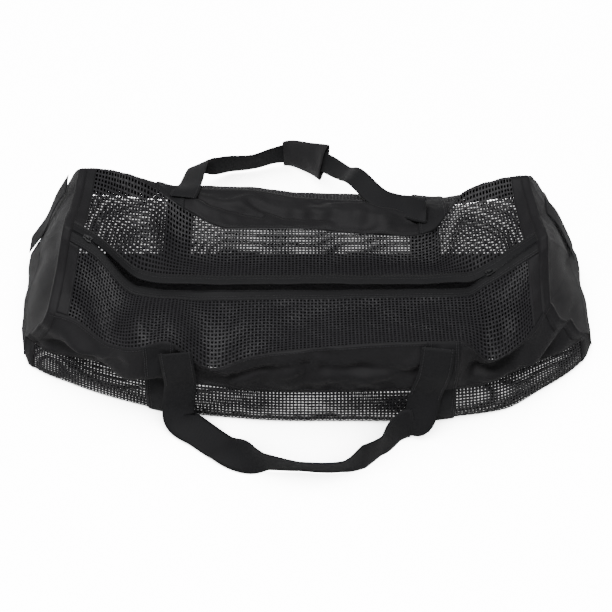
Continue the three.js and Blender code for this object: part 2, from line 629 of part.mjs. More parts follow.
// Place on an end panel's middle surface at a height and depth
function onEndPanel({ rings, hub }, back, up) {
  const flat = new THREE.Vector3(back * DEPTH, up * HEIGHT, 0);
  const count = rings[0].length;
  const grid = [...rings, new Array(count).fill(hub)];
  const weights = new THREE.Vector3();
  for (let r = 0; r < rings.length; r += 1) {
    for (let j = 0; j < count; j += 1) {
      const next = (j + 1) % count;
      const [near, nearNext, far, farNext] = [grid[r][j], grid[r][next], grid[r + 1][j], grid[r + 1][next]];
      for (const face of [[near, nearNext, farNext], [near, farNext, far]]) {
        const corners = face.map((point) => new THREE.Vector3(point.y, point.z, 0));
        if (!THREE.Triangle.getBarycoord(flat, ...corners, weights)) continue;
        if (Math.min(weights.x, weights.y, weights.z) < 0) continue;
        const x = face[0].x * weights.x + face[1].x * weights.y + face[2].x * weights.z;
        return new THREE.Vector3(x, flat.x, flat.y);
      }
    }
  }
  return hub.clone();
}

// Short grab handles: rows of back and up as shares of DEPTH and HEIGHT, and how far the webbing
// stands off the panel there, in its own thicknesses
const grabRows = {
  left: [[0.69, 0.86, 3], [0.68, 0.68, 3.5], [0.665, 0.46, 3.5], [0.65, 0.26, 3]],
  right: [[0.6, 0.84, 1.6], [0.595, 0.7, 2.6], [0.59, 0.52, 2.6], [0.585, 0.36, 1.2]],
};
for (const [side, direction] of [["left", -1], ["right", 1]]) {
  const places = grabRows[side].map(([back, up, stand]) => {
    const place = onEndPanel(endPanels[side], back, up);
    place.x += direction * (halfWall + SEAT_GAP + WEBBING_THICKNESS * (0.5 + stand));
    return place;
  });
  const curve = new THREE.CatmullRomCurve3(places, false, "centripetal");
  const across = new THREE.Vector3(0, 1, 0);
  const path = curve.getPoints(GRAB_STEPS).map((centre, i) => {
    const tangent = curve.getTangent(i / GRAB_STEPS);
    return { centre, across, normal: across.clone().cross(tangent).normalize(), half: GRAB_WIDTH / 2 };
  });
  addPiece(side + "_grab_handle", ribbonGeometry(path, halfWebbing), "webbing");
}

// Zip sliders: a plate that rides over both tapes, with a bridge on it
function toSolid(geometry) {
  geometry.deleteAttribute("normal");
  geometry.deleteAttribute("uv");
  const merged = mergeVertices(geometry);
  return new wasm.Manifold(new wasm.Mesh({
    numProp: 3,
    vertProperties: merged.getAttribute("position").array,
    triVerts: new Uint32Array(merged.getIndex().array),
  }));
}

function fromSolid(solid) {
  const mesh = solid.getMesh();
  return closedGeometry(Array.from(mesh.vertProperties), Array.from(mesh.triVerts));
}

function sliderGeometry() {
  const half = SLIDER_LENGTH / 2;
  const outline = new THREE.Shape();
  outline.moveTo(-half, -SLIDER_WIDTH * 0.32);
  outline.quadraticCurveTo(-half * 1.1, 0, -half, SLIDER_WIDTH * 0.32);
  outline.lineTo(half * 0.3, SLIDER_WIDTH / 2);
  outline.lineTo(half, SLIDER_WIDTH * 0.42);
  outline.lineTo(half * 0.7, 0);
  outline.lineTo(half, -SLIDER_WIDTH * 0.42);
  outline.lineTo(half * 0.3, -SLIDER_WIDTH / 2);
  const flatEdged = { bevelEnabled: false, curveSegments: 4 };
  const plate = new THREE.ExtrudeGeometry(outline, { ...flatEdged, depth: SLIDER_PLATE });
  const arch = new THREE.Shape();
  arch.moveTo(-half * 0.75, -SLIDER_PLATE / 2);
  arch.lineTo(-half * 0.75, BRIDGE_HEIGHT * 0.6);
  arch.quadraticCurveTo(-half * 0.75, BRIDGE_HEIGHT, -half * 0.35, BRIDGE_HEIGHT);
  arch.lineTo(half * 0.2, BRIDGE_HEIGHT);
  arch.quadraticCurveTo(half * 0.6, BRIDGE_HEIGHT, half * 0.6, -SLIDER_PLATE / 2);
  arch.lineTo(half * 0.3, -SLIDER_PLATE / 2);
  arch.quadraticCurveTo(half * 0.3, BRIDGE_HEIGHT * 0.6, 0, BRIDGE_HEIGHT * 0.6);
  arch.lineTo(-half * 0.2, BRIDGE_HEIGHT * 0.6);
  arch.quadraticCurveTo(-half * 0.45, BRIDGE_HEIGHT * 0.6, -half * 0.45, -SLIDER_PLATE / 2);
  const bridge = new THREE.ExtrudeGeometry(arch, { ...flatEdged, depth: BRIDGE_WIDTH });
  bridge.rotateX(Math.PI / 2);
  bridge.translate(0, BRIDGE_WIDTH / 2, SLIDER_PLATE);
  return facingOut(fromSolid(toSolid(plate).add(toSolid(bridge))));
}

// Place on the zip, its run along the bag and its way out of the cloth
function zipPlace(x) {
  const here = seamPoint(seams.zip, { along: x });
  const run = seamPoint(seams.zip, { along: x + 1 }).sub(here).normalize();
  let i = 0;
  while (skin[i + 1][0].x < x) i += 1;
  const out = skinNormals[i][0].clone().add(skinNormals[i][skin[i].length - 1]).normalize();
  out.addScaledVector(run, -out.dot(run)).normalize();
  return { here, run, out };
}

const sliders = [
  { side: "left", x: LEFT_SLIDER_AT, facing: 1, gap: LEFT_SLIDER_GAP },
  { side: "right", x: RIGHT_SLIDER_AT, facing: -1, gap: RIGHT_SLIDER_GAP },
];
for (const { side, x, facing, gap } of sliders) {
  const { here, run, out } = zipPlace(x);
  const slider = addPiece("zip_slider_" + side, sliderGeometry(), "slider");
  const forward = run.clone().multiplyScalar(facing);
  const axes = new THREE.Matrix4().makeBasis(forward, out.clone().cross(forward), out);
  slider.quaternion.setFromRotationMatrix(axes);
  slider.position.copy(here).addScaledVector(out, halfWall + gap);
}

// The origin stands at floor level under the middle of the bag
const reach = new THREE.Box3().setFromObject(bag);
const centre = reach.getCenter(new THREE.Vector3());
bag.position.set(-centre.x, -centre.y, -reach.min.z);

export default bag;
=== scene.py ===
"""Looks of the mesh dive gear bag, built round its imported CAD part. Shapes are worked out in
millimetres in the part's own frame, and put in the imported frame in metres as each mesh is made."""

import math

import bpy
import numpy as np
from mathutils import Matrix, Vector


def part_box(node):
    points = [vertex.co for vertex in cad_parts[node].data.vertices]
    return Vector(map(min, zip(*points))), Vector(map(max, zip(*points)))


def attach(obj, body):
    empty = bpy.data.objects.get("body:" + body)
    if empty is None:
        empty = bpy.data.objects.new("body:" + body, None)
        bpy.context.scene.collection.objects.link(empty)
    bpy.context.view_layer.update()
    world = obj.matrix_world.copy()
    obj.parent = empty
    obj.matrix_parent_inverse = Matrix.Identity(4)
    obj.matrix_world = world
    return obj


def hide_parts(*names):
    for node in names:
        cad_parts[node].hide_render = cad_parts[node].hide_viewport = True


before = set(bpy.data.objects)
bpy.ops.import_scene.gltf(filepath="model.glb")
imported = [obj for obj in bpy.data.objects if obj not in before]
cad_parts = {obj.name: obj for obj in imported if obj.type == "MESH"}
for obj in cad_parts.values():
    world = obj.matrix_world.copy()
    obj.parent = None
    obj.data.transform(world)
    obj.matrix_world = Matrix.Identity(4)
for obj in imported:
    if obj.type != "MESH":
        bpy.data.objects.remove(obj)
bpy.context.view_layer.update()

# Driving sizes, in millimetres, as in the CAD part
HALF_LENGTH = 460
DEPTH = 500
HEIGHT = 210
WALL = 2
SEAT_GAP = 0.4
WEBBING_WIDTH = 50
WEBBING_THICKNESS = 1.6
LEFT_STRIP_OUTER = -0.4826 * HALF_LENGTH - WEBBING_WIDTH / 2
LEFT_STRIP_INNER = LEFT_STRIP_OUTER + WEBBING_WIDTH
RIGHT_STRIP_INNER = 0.4478 * HALF_LENGTH - WEBBING_WIDTH / 2
RIGHT_STRIP_OUTER = RIGHT_STRIP_INNER + WEBBING_WIDTH
TAPE_WIDTH = 18
SLIT_CLOSED = 0.8
SLIT_OPEN = 13
SLIT_TAPER = 60
LEFT_SLIDER_AT = -338
RIGHT_SLIDER_AT = 288
TRIM_SHARE = 0.19
FLOOR_LEVEL = WEBBING_THICKNESS + SEAT_GAP + WALL / 2
STRIP_OFFSET = WALL / 2 + SEAT_GAP + WEBBING_THICKNESS / 2
STRIP_EDGES = {
    "left": (LEFT_STRIP_OUTER, LEFT_STRIP_INNER),
    "right": (RIGHT_STRIP_INNER, RIGHT_STRIP_OUTER),
}

# The net: from hole to hole, share of a cell that is open, smallest hole against the largest, how thick
# it is, and how far its crossings rise and sink
NET_PITCH = 5.65
NET_OPEN = 0.66
NET_UNEVEN = 0.86
NET_THICKNESS = 1.3
NET_WAVE = 0.35

# How far cloth stands out from the skin's middle: side bands between their hems and at them, zip tapes
# and trims. HEM_REACH is the width of a hem, and HEM_SLOPE that of the slope on its inner side
HEM_PLAIN = 1.0
HEM_RAISED = 2.0
HEM_REACH = 9
HEM_SLOPE = 3
TAPE_OUTSIDE = 1.3
TRIM_OUTSIDE = 1.6

# Wandering of the open zip's sides: height, length and phase of each wave
SLIT_WAVES = [(1.6, 41, 1), (1.1, 17, 0), (0.6, 8.5, 2)]

# Small creases: seed, waves in each panel, and the divisor that brings their sum to the height asked for
CREASE_SEED = 40
CREASE_WAVES = 12
CREASE_SUM = 1.9

# Seams that run the length of the bag: along, back and up as shares of the three sizes
SEAMS = {
    "zip": [
        [-0.807, 0.436, 1.0], [-0.711, 0.4, 0.905], [-0.563, 0.324, 0.667], [-0.461, 0.316, 0.638],
        [0.25, 0.316, 0.638], [0.539, 0.322, 0.643], [0.626, 0.362, 0.676], [0.726, 0.396, 0.81],
        [0.804, 0.412, 0.952],
    ],
    "front_top": [
        [-0.863, 0.248, 0.571], [-0.776, 0.214, 0.571], [-0.648, 0.108, 0.595], [-0.541, 0.07, 0.667],
        [-0.459, 0.076, 0.714], [-0.309, 0.044, 0.5], [-0.174, 0.052, 0.62], [-0.013, 0.056, 0.69],
        [0.307, 0.07, 0.724], [0.505, 0.074, 0.724], [0.605, 0.045, 0.59], [0.707, 0.108, 0.595],
        [0.817, 0.264, 0.595],
    ],
    "front_band_low": [
        [-0.974, 0.292, 0.143], [-0.883, 0.21, 0.19], [-0.7, 0.15, 0.276], [-0.539, 0.09, 0.314],
        [-0.387, 0.05, 0.314], [-0.087, 0.02, 0.305], [0.313, 0.022, 0.305], [0.548, 0.036, 0.305],
        [0.722, 0.11, 0.295], [0.93, 0.236, 0.214], [0.985, 0.3, 0.143],
    ],
    "front_floor": [
        [-0.985, 0.264, 0], [-0.967, 0.225, 0], [-0.817, 0.148, 0], [-0.641, 0.084, 0],
        [-0.415, 0.03, 0], [-0.02, 0, 0], [0.34, 0, 0], [0.513, 0.018, 0], [0.672, 0.044, 0],
        [0.807, 0.12, 0], [0.974, 0.244, 0], [1.004, 0.306, 0],
    ],
    "bottom_front": [[-1.006, 0.36, 0], [-0.6, 0.24, 0], [0, 0.2, 0], [0.6, 0.24, 0], [1.006, 0.36, 0]],
    "bottom_back": [[-1.012, 0.7, 0], [-0.6, 0.7, 0], [0, 0.7, 0], [0.6, 0.7, 0], [0.99, 0.7, 0]],
    "back_floor": [
        [-0.935, 0.96, 0], [-0.85, 0.99, 0], [-0.5, 0.96, 0], [0, 0.935, 0], [0.5, 0.935, 0],
        [0.83, 0.975, 0], [0.92, 0.95, 0],
    ],
    "back_band_low": [
        [-0.87, 0.824, 0.43], [-0.78, 0.83, 0.43], [-0.643, 0.83, 0.44], [-0.5, 0.785, 0.54],
        [-0.383, 0.75, 0.629], [-0.213, 0.745, 0.629], [-0.022, 0.712, 0.62], [0.193, 0.698, 0.62],
        [0.463, 0.69, 0.6], [0.591, 0.74, 0.56], [0.67, 0.775, 0.49], [0.763, 0.8, 0.44],
        [0.86, 0.8, 0.43],
    ],
    "back_top": [
        [-0.787, 0.714, 0.933], [-0.728, 0.73, 0.895], [-0.637, 0.726, 0.848], [-0.541, 0.708, 0.752],
        [-0.491, 0.682, 0.705], [-0.428, 0.64, 0.676], [-0.267, 0.562, 0.657], [-0.022, 0.562, 0.657],
        [0.137, 0.544, 0.657], [0.363, 0.53, 0.657], [0.44, 0.545, 0.667], [0.496, 0.608, 0.705],
        [0.561, 0.672, 0.786], [0.63, 0.682, 0.848], [0.696, 0.688, 0.895], [0.77, 0.682, 0.933],
    ],
}

# Panels in order round the section: name, its two seams, columns of the fine grid, columns of the CAD
# grid, height of small creases in millimetres, and rows of its belly
PANELS = [
    ("zip_tape_front", "slit_front", "tape_front", 5, 1, 0, [[0, 0]]),
    ("front_top_mesh", "tape_front", "front_top", 30, 3, 1.6,
     [[-0.8, -0.05], [-0.55, 0.02], [-0.31, 0.04], [0, -0.03], [0.5, -0.02], [0.58, 0.03], [0.8, -0.04]]),
    ("front_side_band", "front_top", "front_band_low", 24, 3, 3.2,
     [[-0.9, 0.05], [-0.6, 0.07], [-0.31, -0.04], [0, 0.03], [0.5, 0.05], [0.57, -0.05], [0.9, 0.07]]),
    ("front_lower_mesh", "front_band_low", "front_floor", 12, 2, 0.8,
     [[-1, 0.03], [-0.5, 0.03], [0, 0.02], [0.5, 0.03], [1, 0.03]]),
    ("front_lower_mesh", "front_floor", "bottom_front", 24, 2, 0, [[0, 0]]),
    ("bottom_panel", "bottom_front", "bottom_back", 20, 2, 0, [[0, 0]]),
    ("back_lower_mesh", "bottom_back", "back_floor", 20, 2, 0, [[0, 0]]),
    ("back_lower_mesh", "back_floor", "back_band_low", 28, 4, 0.8,
     [[-0.9, 0.05], [-0.6, 0.05], [-0.3, 0.07], [0.3, 0.07], [0.6, 0.05], [0.9, 0.05]]),
    ("back_side_band", "back_band_low", "back_top", 26, 3, 3.0,
     [[-0.9, 0.05], [-0.5, 0.05], [-0.3, 0.02], [-0.1, -0.03], [0.15, 0.04], [0.4, 0.02], [0.9, 0.06]]),
    ("back_top_mesh", "back_top", "tape_back", 26, 3, 1.4,
     [[-0.8, -0.04], [-0.5, -0.08], [0, -0.05], [0.5, -0.08], [0.8, -0.04]]),
    ("zip_tape_back", "tape_back", "slit_back", 5, 1, 0, [[0, 0]]),
]
FRONT_BAND = 2
BACK_BAND = 8

# Folds of the cloth: panel, start and end as along and share across, half width and lift in millimetres
FOLDS = [
    (2, (-0.84, 0.15), (-0.52, 0.75), 21, 17),
    (2, (-0.86, 0.75), (-0.62, 0.35), 15, -14),
    (2, (0.6, 0.75), (0.84, 0.2), 17, 21),
    (2, (0.7, 0.95), (0.93, 0.45), 15, -15),
    (2, (0.56, 0.6), (0.72, 0.1), 12, -12),
    (2, (-0.3, 0.1), (-0.05, 0.35), 21, 10),
    (8, (-0.38, 0.7), (-0.18, 0.2), 21, 8),
    (8, (0.02, 0.45), (0.3, 0.7), 21, 10),
    (9, (-0.56, 0.1), (-0.5, 0.9), 25, 13),
    (9, (0.52, 0.1), (0.58, 0.9), 25, 13),
    (1, (-0.56, 0.1), (-0.55, 0.9), 21, 10),
    (2, (-0.24, 0.5), (0.0, 0.28), 9, -9),
    (2, (-0.12, 0.8), (0.22, 0.55), 10, 4),
    (2, (0.06, 0.42), (0.36, 0.52), 9, -6),
    (2, (0.18, 0.75), (0.36, 0.35), 9, 4),
    (2, (-0.3, 0.85), (-0.15, 0.5), 9, 4),
    (2, (-0.76, 0.6), (-0.58, 0.9), 9, -5),
    (2, (-0.8, 0.35), (-0.6, 0.15), 8, 5),
    (2, (0.66, 0.35), (0.8, 0.75), 9, -6),
    (2, (0.58, 0.4), (0.74, 0.15), 8, 5),
    (8, (-0.42, 0.5), (-0.16, 0.6), 8, -9),
    (8, (-0.2, 0.35), (0.1, 0.75), 8, -8),
    (8, (0.1, 0.3), (0.38, 0.45), 8, 7),
    (8, (0.2, 0.85), (0.42, 0.6), 8, -4),
    (8, (-0.7, 0.3), (-0.52, 0.7), 10, -6),
    (8, (0.56, 0.6), (0.72, 0.3), 10, -6),
]


def follow(rows, at):
    """Steady curve through rows of [at, value...], without overshoot, for an array of places."""
    rows = np.asarray(rows, float)
    at = np.clip(np.asarray(at, float), rows[0, 0], rows[-1, 0])
    if len(rows) == 1:
        return np.broadcast_to(rows[0, 1:], at.shape + (rows.shape[1] - 1,))
    spans = np.diff(rows[:, 0])
    slopes = np.diff(rows[:, 1:], axis=0) / spans[:, None]
    product = slopes[:-1] * slopes[1:]
    total = np.where(product > 0, slopes[:-1] + slopes[1:], 1)
    tangents = np.vstack([slopes[:1], np.where(product > 0, 2 * product / total, 0), slopes[-1:]])
    k = np.clip(np.searchsorted(rows[:, 0], at, side="right") - 1, 0, len(spans) - 1)
    span = spans[k][..., None]
    t = (at - rows[k, 0])[..., None] / span
    start = rows[k, 1:] * (1 + 2 * t) * (1 - t) ** 2
    end = rows[k + 1, 1:] * t * t * (3 - 2 * t)
    return start + end + span * (tangents[k] * t * (1 - t) ** 2 - tangents[k + 1] * t * t * (1 - t))


def unit(vectors):
    """Vectors brought to length one."""
    return vectors / np.maximum(np.linalg.norm(vectors, axis=-1, keepdims=True), 1e-9)


def seam_line(rows, q):
    """Points of a seam at sections q: 0 to 1 is the left end, 1 to 2 the middle, 2 to 3 the right end."""
    first = rows[0][0] * HALF_LENGTH
    last = rows[-1][0] * HALF_LENGTH
    x = np.interp(q, [0, 1, 2, 3], [first, LEFT_STRIP_OUTER, RIGHT_STRIP_OUTER, last])
    values = follow(rows, x / HALF_LENGTH)
    return np.stack([x, values[..., 0] * DEPTH, FLOOR_LEVEL + values[..., 1] * HEIGHT], axis=-1)


def seam_lines(q):
    """All seams at sections q, with the edges of the two zip tapes worked out from the zip's line."""
    lines = {name: seam_line(rows, q) for name, rows in SEAMS.items()}
    zip_line = lines["zip"]
    along = zip_line[:, 0]
    inside = np.clip(np.minimum(along - LEFT_SLIDER_AT, RIGHT_SLIDER_AT - along) / SLIT_TAPER, 0, 1)
    eased = inside * inside * (3 - 2 * inside)
    wander = eased * sum(height * np.sin(along / length + phase) for height, length, phase in SLIT_WAVES)
    half_slit = (SLIT_CLOSED + (SLIT_OPEN - SLIT_CLOSED) * eased + wander)[:, None] / 2
    for side in ("front", "back"):
        outward = unit(lines[side + "_top"] - zip_line)
        lines["slit_" + side] = zip_line + outward * half_slit
        lines["tape_" + side] = zip_line + outward * (half_slit + TAPE_WIDTH)
    return lines


def fold_lift(panel, x, across, width):
    """Height of a panel's folds at places x along the bag and shares across a panel of these widths."""
    lift = np.zeros_like(x)
    for index, start, end, half_width, height in FOLDS:
        if index != panel:
            continue
        start_at = np.stack(np.broadcast_arrays(start[0] * HALF_LENGTH, start[1] * width), axis=-1)
        reach = np.subtract(end, start)
        line = np.stack(np.broadcast_arrays(reach[0] * HALF_LENGTH, reach[1] * width), axis=-1)
        here = np.stack([x, across * width], axis=-1) - start_at
        share = np.clip((here * line).sum(-1) / (line * line).sum(-1), 0, 1)
        away = np.linalg.norm(here - line * share[..., None], axis=-1) / half_width
        lift += height * np.exp(-away * away)
    return lift


def creases(panel, x, across, width, height):
    """Small uneven creases: a seeded sum of slanted waves whose strength comes and goes."""
    if height == 0:
        return np.zeros_like(x)
    random = np.random.default_rng(CREASE_SEED + panel)
    total = np.zeros_like(x)
    y = across * width
    for _ in range(CREASE_WAVES):
        length = random.uniform(20, 90)
        angle = random.uniform(-1.2, 1.2)
        phase = random.uniform(0, 2 * math.pi)
        wander = 12 * np.sin(y / random.uniform(20, 60) + x / random.uniform(60, 140) + phase)
        wave = np.sin((x * math.cos(angle) + y * math.sin(angle) + wander) * 2 * math.pi / length + phase)
        patch = np.sin(x / random.uniform(50, 120) + phase * 3)
        patch = patch * np.sin(y / random.uniform(30, 70) + phase * 5)
        sharp = np.sign(wave) * (1 - (1 - np.abs(wave)) ** 1.6)
        total += sharp * np.clip(patch + 0.3, 0, 1) * (length / 70)
    return total * height / CREASE_SUM


def panel_points(panel, q, across):
    """Middle points of a panel for sections q and shares across, as a grid."""
    name, first, second, _, _, crease, belly = PANELS[panel]
    lines = seam_lines(q)
    start = lines[first][:, None, :]
    chord = (lines[second] - lines[first])[:, None, :]
    share = across[None, :, None]
    points = start + chord * share
    out = unit(np.cross(chord, np.array([1.0, 0, 0])))
    width = np.linalg.norm(chord, axis=-1)
    x = points[..., 0]
    a = np.broadcast_to(across[None, :], x.shape)
    taper = np.minimum(1, 4 * a * (1 - a))
    edge = 1 - (1 - taper) ** 3
    rise = follow(belly, x / HALF_LENGTH)[..., 0] * HEIGHT * 4 * a * (1 - a)
    rise = rise + fold_lift(panel, x, a, width) * taper + creases(panel, x, a, width, crease) * edge
    return points + out * rise[..., None]


def grid_normals(grid):
    """Normals at a grid's points, from the lines on both sides of each."""
    lengthwise = np.empty_like(grid)
    lengthwise[1:-1] = grid[2:] - grid[:-2]
    lengthwise[0] = grid[1] - grid[0]
    lengthwise[-1] = grid[-1] - grid[-2]
    ahead = np.zeros_like(grid)
    ahead[:, :-1] = unit(grid[:, 1:] - grid[:, :-1])
    behind = np.zeros_like(grid)
    behind[:, 1:] = ahead[:, :-1]
    return unit(np.cross(ahead + behind, lengthwise))


def ring_normals(grid):
    """Normals of a grid whose last column meets its first."""
    turned = np.concatenate([grid[:, -1:], grid, grid[:, :1]], axis=1)
    return grid_normals(turned)[:, 1:-1]


# The skin as one fine grid, sections by columns, and where each panel's columns begin
TRIM_ROWS = 10
END_ROWS = 38
MIDDLE_ROWS = 108
SECTIONS = np.concatenate([
    np.linspace(0, TRIM_SHARE, TRIM_ROWS, endpoint=False),
    np.linspace(TRIM_SHARE, 1, END_ROWS, endpoint=False),
    np.linspace(1, 2, MIDDLE_ROWS, endpoint=False),
    np.linspace(2, 3 - TRIM_SHARE, END_ROWS, endpoint=False),
    np.linspace(3 - TRIM_SHARE, 3, TRIM_ROWS + 1),
])
blocks = []
first_column = [0]
for panel_index, panel_row in enumerate(PANELS):
    shares = np.arange(panel_row[3] + (panel_index == len(PANELS) - 1)) / panel_row[3]
    blocks.append(panel_points(panel_index, SECTIONS, shares))
    first_column.append(first_column[-1] + panel_row[3])
SKIN = np.concatenate(blocks, axis=1)
SKIN_NORMALS = grid_normals(SKIN)

# From the part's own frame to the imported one: the bottom panel's middle is known in both
low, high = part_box("bottom_panel")
bottom_rows = np.array(SEAMS["bottom_front"] + SEAMS["bottom_back"])
own_x = (bottom_rows[:, 0].min() + bottom_rows[:, 0].max()) * HALF_LENGTH / 2
own_y = (bottom_rows[:, 1].min() + bottom_rows[:, 1].max()) * DEPTH / 2
SHIFT = np.array([(low.x + high.x) / 2 - own_x / 1000, (low.y + high.y) / 2 - own_y / 1000, 0])


def to_frame(points):
    """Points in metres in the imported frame, from millimetres in the part's own."""
    return np.asarray(points, float) / 1000 + SHIFT


def put_mesh(name, vertices, faces, uv=None, smooth=True):
    """Mesh object from points in millimetres; uv is a table of one pair for each point, in metres."""
    mesh = bpy.data.meshes.new(name)
    mesh.from_pydata(to_frame(vertices).tolist(), [], faces)
    if uv is not None:
        layer = mesh.uv_layers.new(name="UVMap")
        loops = np.empty(len(mesh.loops), dtype=np.int32)
        mesh.loops.foreach_get("vertex_index", loops)
        layer.data.foreach_set("uv", np.asarray(uv, float)[loops].ravel())
    if smooth:
        mesh.shade_smooth()
    piece = bpy.data.objects.new(name, mesh)
    bpy.context.scene.collection.objects.link(piece)
    return piece


def wall_mesh(name, grid, normals, outside, inside=None, closed=False):
    """Closed wall either side of a grid, outside and inside being offsets along the normals."""
    rows, columns = grid.shape[:2]
    inside = -outside if inside is None else inside
    outer = grid + normals * np.asarray(outside)[..., None]
    inner = grid + normals * np.asarray(inside)[..., None]
    numbers = np.arange(rows * columns).reshape(rows, columns)
    if closed:
        numbers = np.concatenate([numbers, numbers[:, :1]], axis=1)
    other = numbers + rows * columns

    def quads(a, b, c, d):
        return np.stack([a.ravel(), b.ravel(), c.ravel(), d.ravel()], axis=1)

    parts = [
        quads(numbers[:-1, :-1], numbers[:-1, 1:], numbers[1:, 1:], numbers[1:, :-1]),
        quads(other[:-1, :-1], other[1:, :-1], other[1:, 1:], other[:-1, 1:]),
        quads(numbers[0, 1:], numbers[0, :-1], other[0, :-1], other[0, 1:]),
        quads(numbers[-1, :-1], numbers[-1, 1:], other[-1, 1:], other[-1, :-1]),
    ]
    if not closed:
        parts.append(quads(numbers[:-1, 0], numbers[1:, 0], other[1:, 0], other[:-1, 0]))
        parts.append(quads(numbers[1:, -1], numbers[:-1, -1], other[:-1, -1], other[1:, -1]))
    faces = np.concatenate(parts)
    vertices = np.concatenate([outer.reshape(-1, 3), inner.reshape(-1, 3)])
    flat = vertices[faces]
    volume = np.einsum("ij,ij->i", flat[:, 0], np.cross(flat[:, 1], flat[:, 2])).sum()
    volume += np.einsum("ij,ij->i", flat[:, 0], np.cross(flat[:, 2], flat[:, 3])).sum()
    if volume < 0:
        faces = faces[:, ::-1]
    along = np.zeros((rows, columns))
    along[1:] = np.cumsum(np.linalg.norm(np.diff(grid, axis=0), axis=-1), axis=0)
    crosswise = np.zeros((rows, columns))
    crosswise[:, 1:] = np.cumsum(np.linalg.norm(np.diff(grid, axis=1), axis=-1), axis=1)
    uv = np.stack([along, crosswise], axis=-1).reshape(-1, 2) / 1000
    return put_mesh(name, vertices, faces.tolist(), np.concatenate([uv, uv]))


def ring_part(first_panel, last_panel, q):
    """Grid of middle points over several neighbouring panels, for sections q, with its normals."""
    parts = []
    for index in range(first_panel, last_panel + 1):
        count = PANELS[index][3]
        parts.append(panel_points(index, q, np.arange(count + (index == last_panel)) / count))
    grid = np.concatenate(parts, axis=1)
    return grid, grid_normals(grid)


def columns_of(name):
    """First and last column of the skin that a piece has."""
    used = [k for k, row in enumerate(PANELS) if row[0] == name]
    return first_column[used[0]], first_column[used[-1] + 1]


def hem_offset(grid):
    """Offset that rises near both long edges, as a folded and stitched hem does."""
    steps = np.linalg.norm(np.diff(grid, axis=1), axis=-1)
    run = np.concatenate([np.zeros((len(grid), 1)), np.cumsum(steps, axis=1)], axis=1)
    near = np.minimum(run, run[:, -1:] - run)
    return HEM_PLAIN + (HEM_RAISED - HEM_PLAIN) * np.clip((HEM_REACH - near) / HEM_SLOPE, 0, 1)


def skin_piece(name, from_row, to_row, columns, outside=WALL / 2, hem=False):
    """Wall over a part of the skin, from one row to another and over a pair of columns."""
    from_column, to_column = columns
    last = min(to_column, SKIN.shape[1] - 1)
    grid = SKIN[from_row:to_row + 1, from_column:last + 1]
    normals = SKIN_NORMALS[from_row:to_row + 1, from_column:last + 1]
    return wall_mesh(name, grid, normals, hem_offset(grid) if hem else outside, -WALL / 2)


made = {}
LAST = len(SECTIONS) - 1

for name in ("front_side_band", "back_side_band"):
    made[name] = skin_piece(name + "_cloth", 0, LAST, columns_of(name), hem=True)
made["bottom_panel"] = skin_piece("bottom_panel_cloth", 0, LAST, columns_of("bottom_panel"))
for name in ("zip_tape_front", "zip_tape_back"):
    made[name] = skin_piece(name + "_woven", 0, LAST, columns_of(name), TAPE_OUTSIDE)
for side in ("front", "back"):
    for end, first_row, last_row in (("left", 0, TRIM_ROWS), ("right", LAST - TRIM_ROWS, LAST)):
        name = f"{end}_{side}_trim"
        columns = columns_of(side + "_top_mesh")
        made[name] = skin_piece(name + "_cloth", first_row, last_row, columns, TRIM_OUTSIDE)

# End panels: rings from the end section in to its middle, which stands out by a share of the half
# length. Then their gap off the skin's wall and half their thickness in millimetres, and each ripple's
# height, lengths across and up, and phase
RING_SHARES = np.array([1, 0.97, 0.93, 0.88, 0.82, 0.75, 0.67, 0.58, 0.48, 0.38, 0.27, 0.16, 0.07, 0.004])
END_STAND = 0.0412
END_GAP = 1.6
END_HALF = 1.0
END_RIPPLES = [(2.2, 17, 60, 1.3), (2.0, 31, -24, 0), (0.7, 9, 40, 0)]
end_grids = {}
for side, row, direction in (("left", 0, -1), ("right", LAST, 1)):
    edge = SKIN[row]
    middle = edge.mean(axis=0)
    stand = END_STAND * (1 - RING_SHARES ** 2)
    grid = middle + (edge[None] - middle) * RING_SHARES[:, None, None]
    grid[..., 0] += direction * (WALL / 2 + END_GAP + stand[:, None] * HALF_LENGTH)
    y = grid[..., 1]
    z = grid[..., 2]
    ripple = sum(height * np.sin(y / wide + z / tall + phase) for height, wide, tall, phase in END_RIPPLES)
    grid[..., 0] += direction * ripple * np.clip((1 - RING_SHARES[:, None]) * 5, 0, 1)
    normals = ring_normals(grid)
    if normals[..., 0].mean() * direction < 0:
        normals = -normals
    end_grids[side] = grid
    made[side + "_end_panel"] = wall_mesh(side + "_end_cloth", grid, normals, END_HALF, closed=True)

# Binding over each end seam, from the skin on to the end panel: how far it stands off the skin, off the
# seam and off the end panel, half its thickness, and how far inward a point is surely inside the bag
BINDING_LIFT = 1.5
BINDING_RIM = 0.9
BINDING_LAP = 1.2
BINDING_HALF = 0.5
BINDING_INWARD = 40
bindings = {}
for side, rows, direction in (("left", (4, 2, 0), -1), ("right", (LAST - 4, LAST - 2, LAST), 1)):
    skin_rows = [SKIN[row] + SKIN_NORMALS[row] * BINDING_LIFT for row in rows]
    rim = end_grids[side][0] + SKIN_NORMALS[rows[-1]] * BINDING_RIM
    on_panel = end_grids[side][1].copy()
    on_panel[:, 0] += direction * BINDING_LAP
    grid = np.array([*skin_rows, rim, on_panel])
    normals = ring_normals(grid)
    centre = grid.reshape(-1, 3).mean(axis=0) - np.array([direction * BINDING_INWARD, 0, 0])
    if ((grid - centre) * normals).sum() < 0:
        normals = -normals
    bindings[side] = wall_mesh(side + "_end_binding", grid, normals, BINDING_HALF, closed=True)

# Webbing: the places across its width where it has points, its strips round the bag, and its ribbons
STRIP_PLACES = 11
RIBBON_PLACES = 9


def webbing_half(places):
    """Half the thickness of webbing at places from -1 to 1 across it, thinner at its edges."""
    return WEBBING_THICKNESS / 2 * (1 - np.abs(places) ** 8 * 0.5)


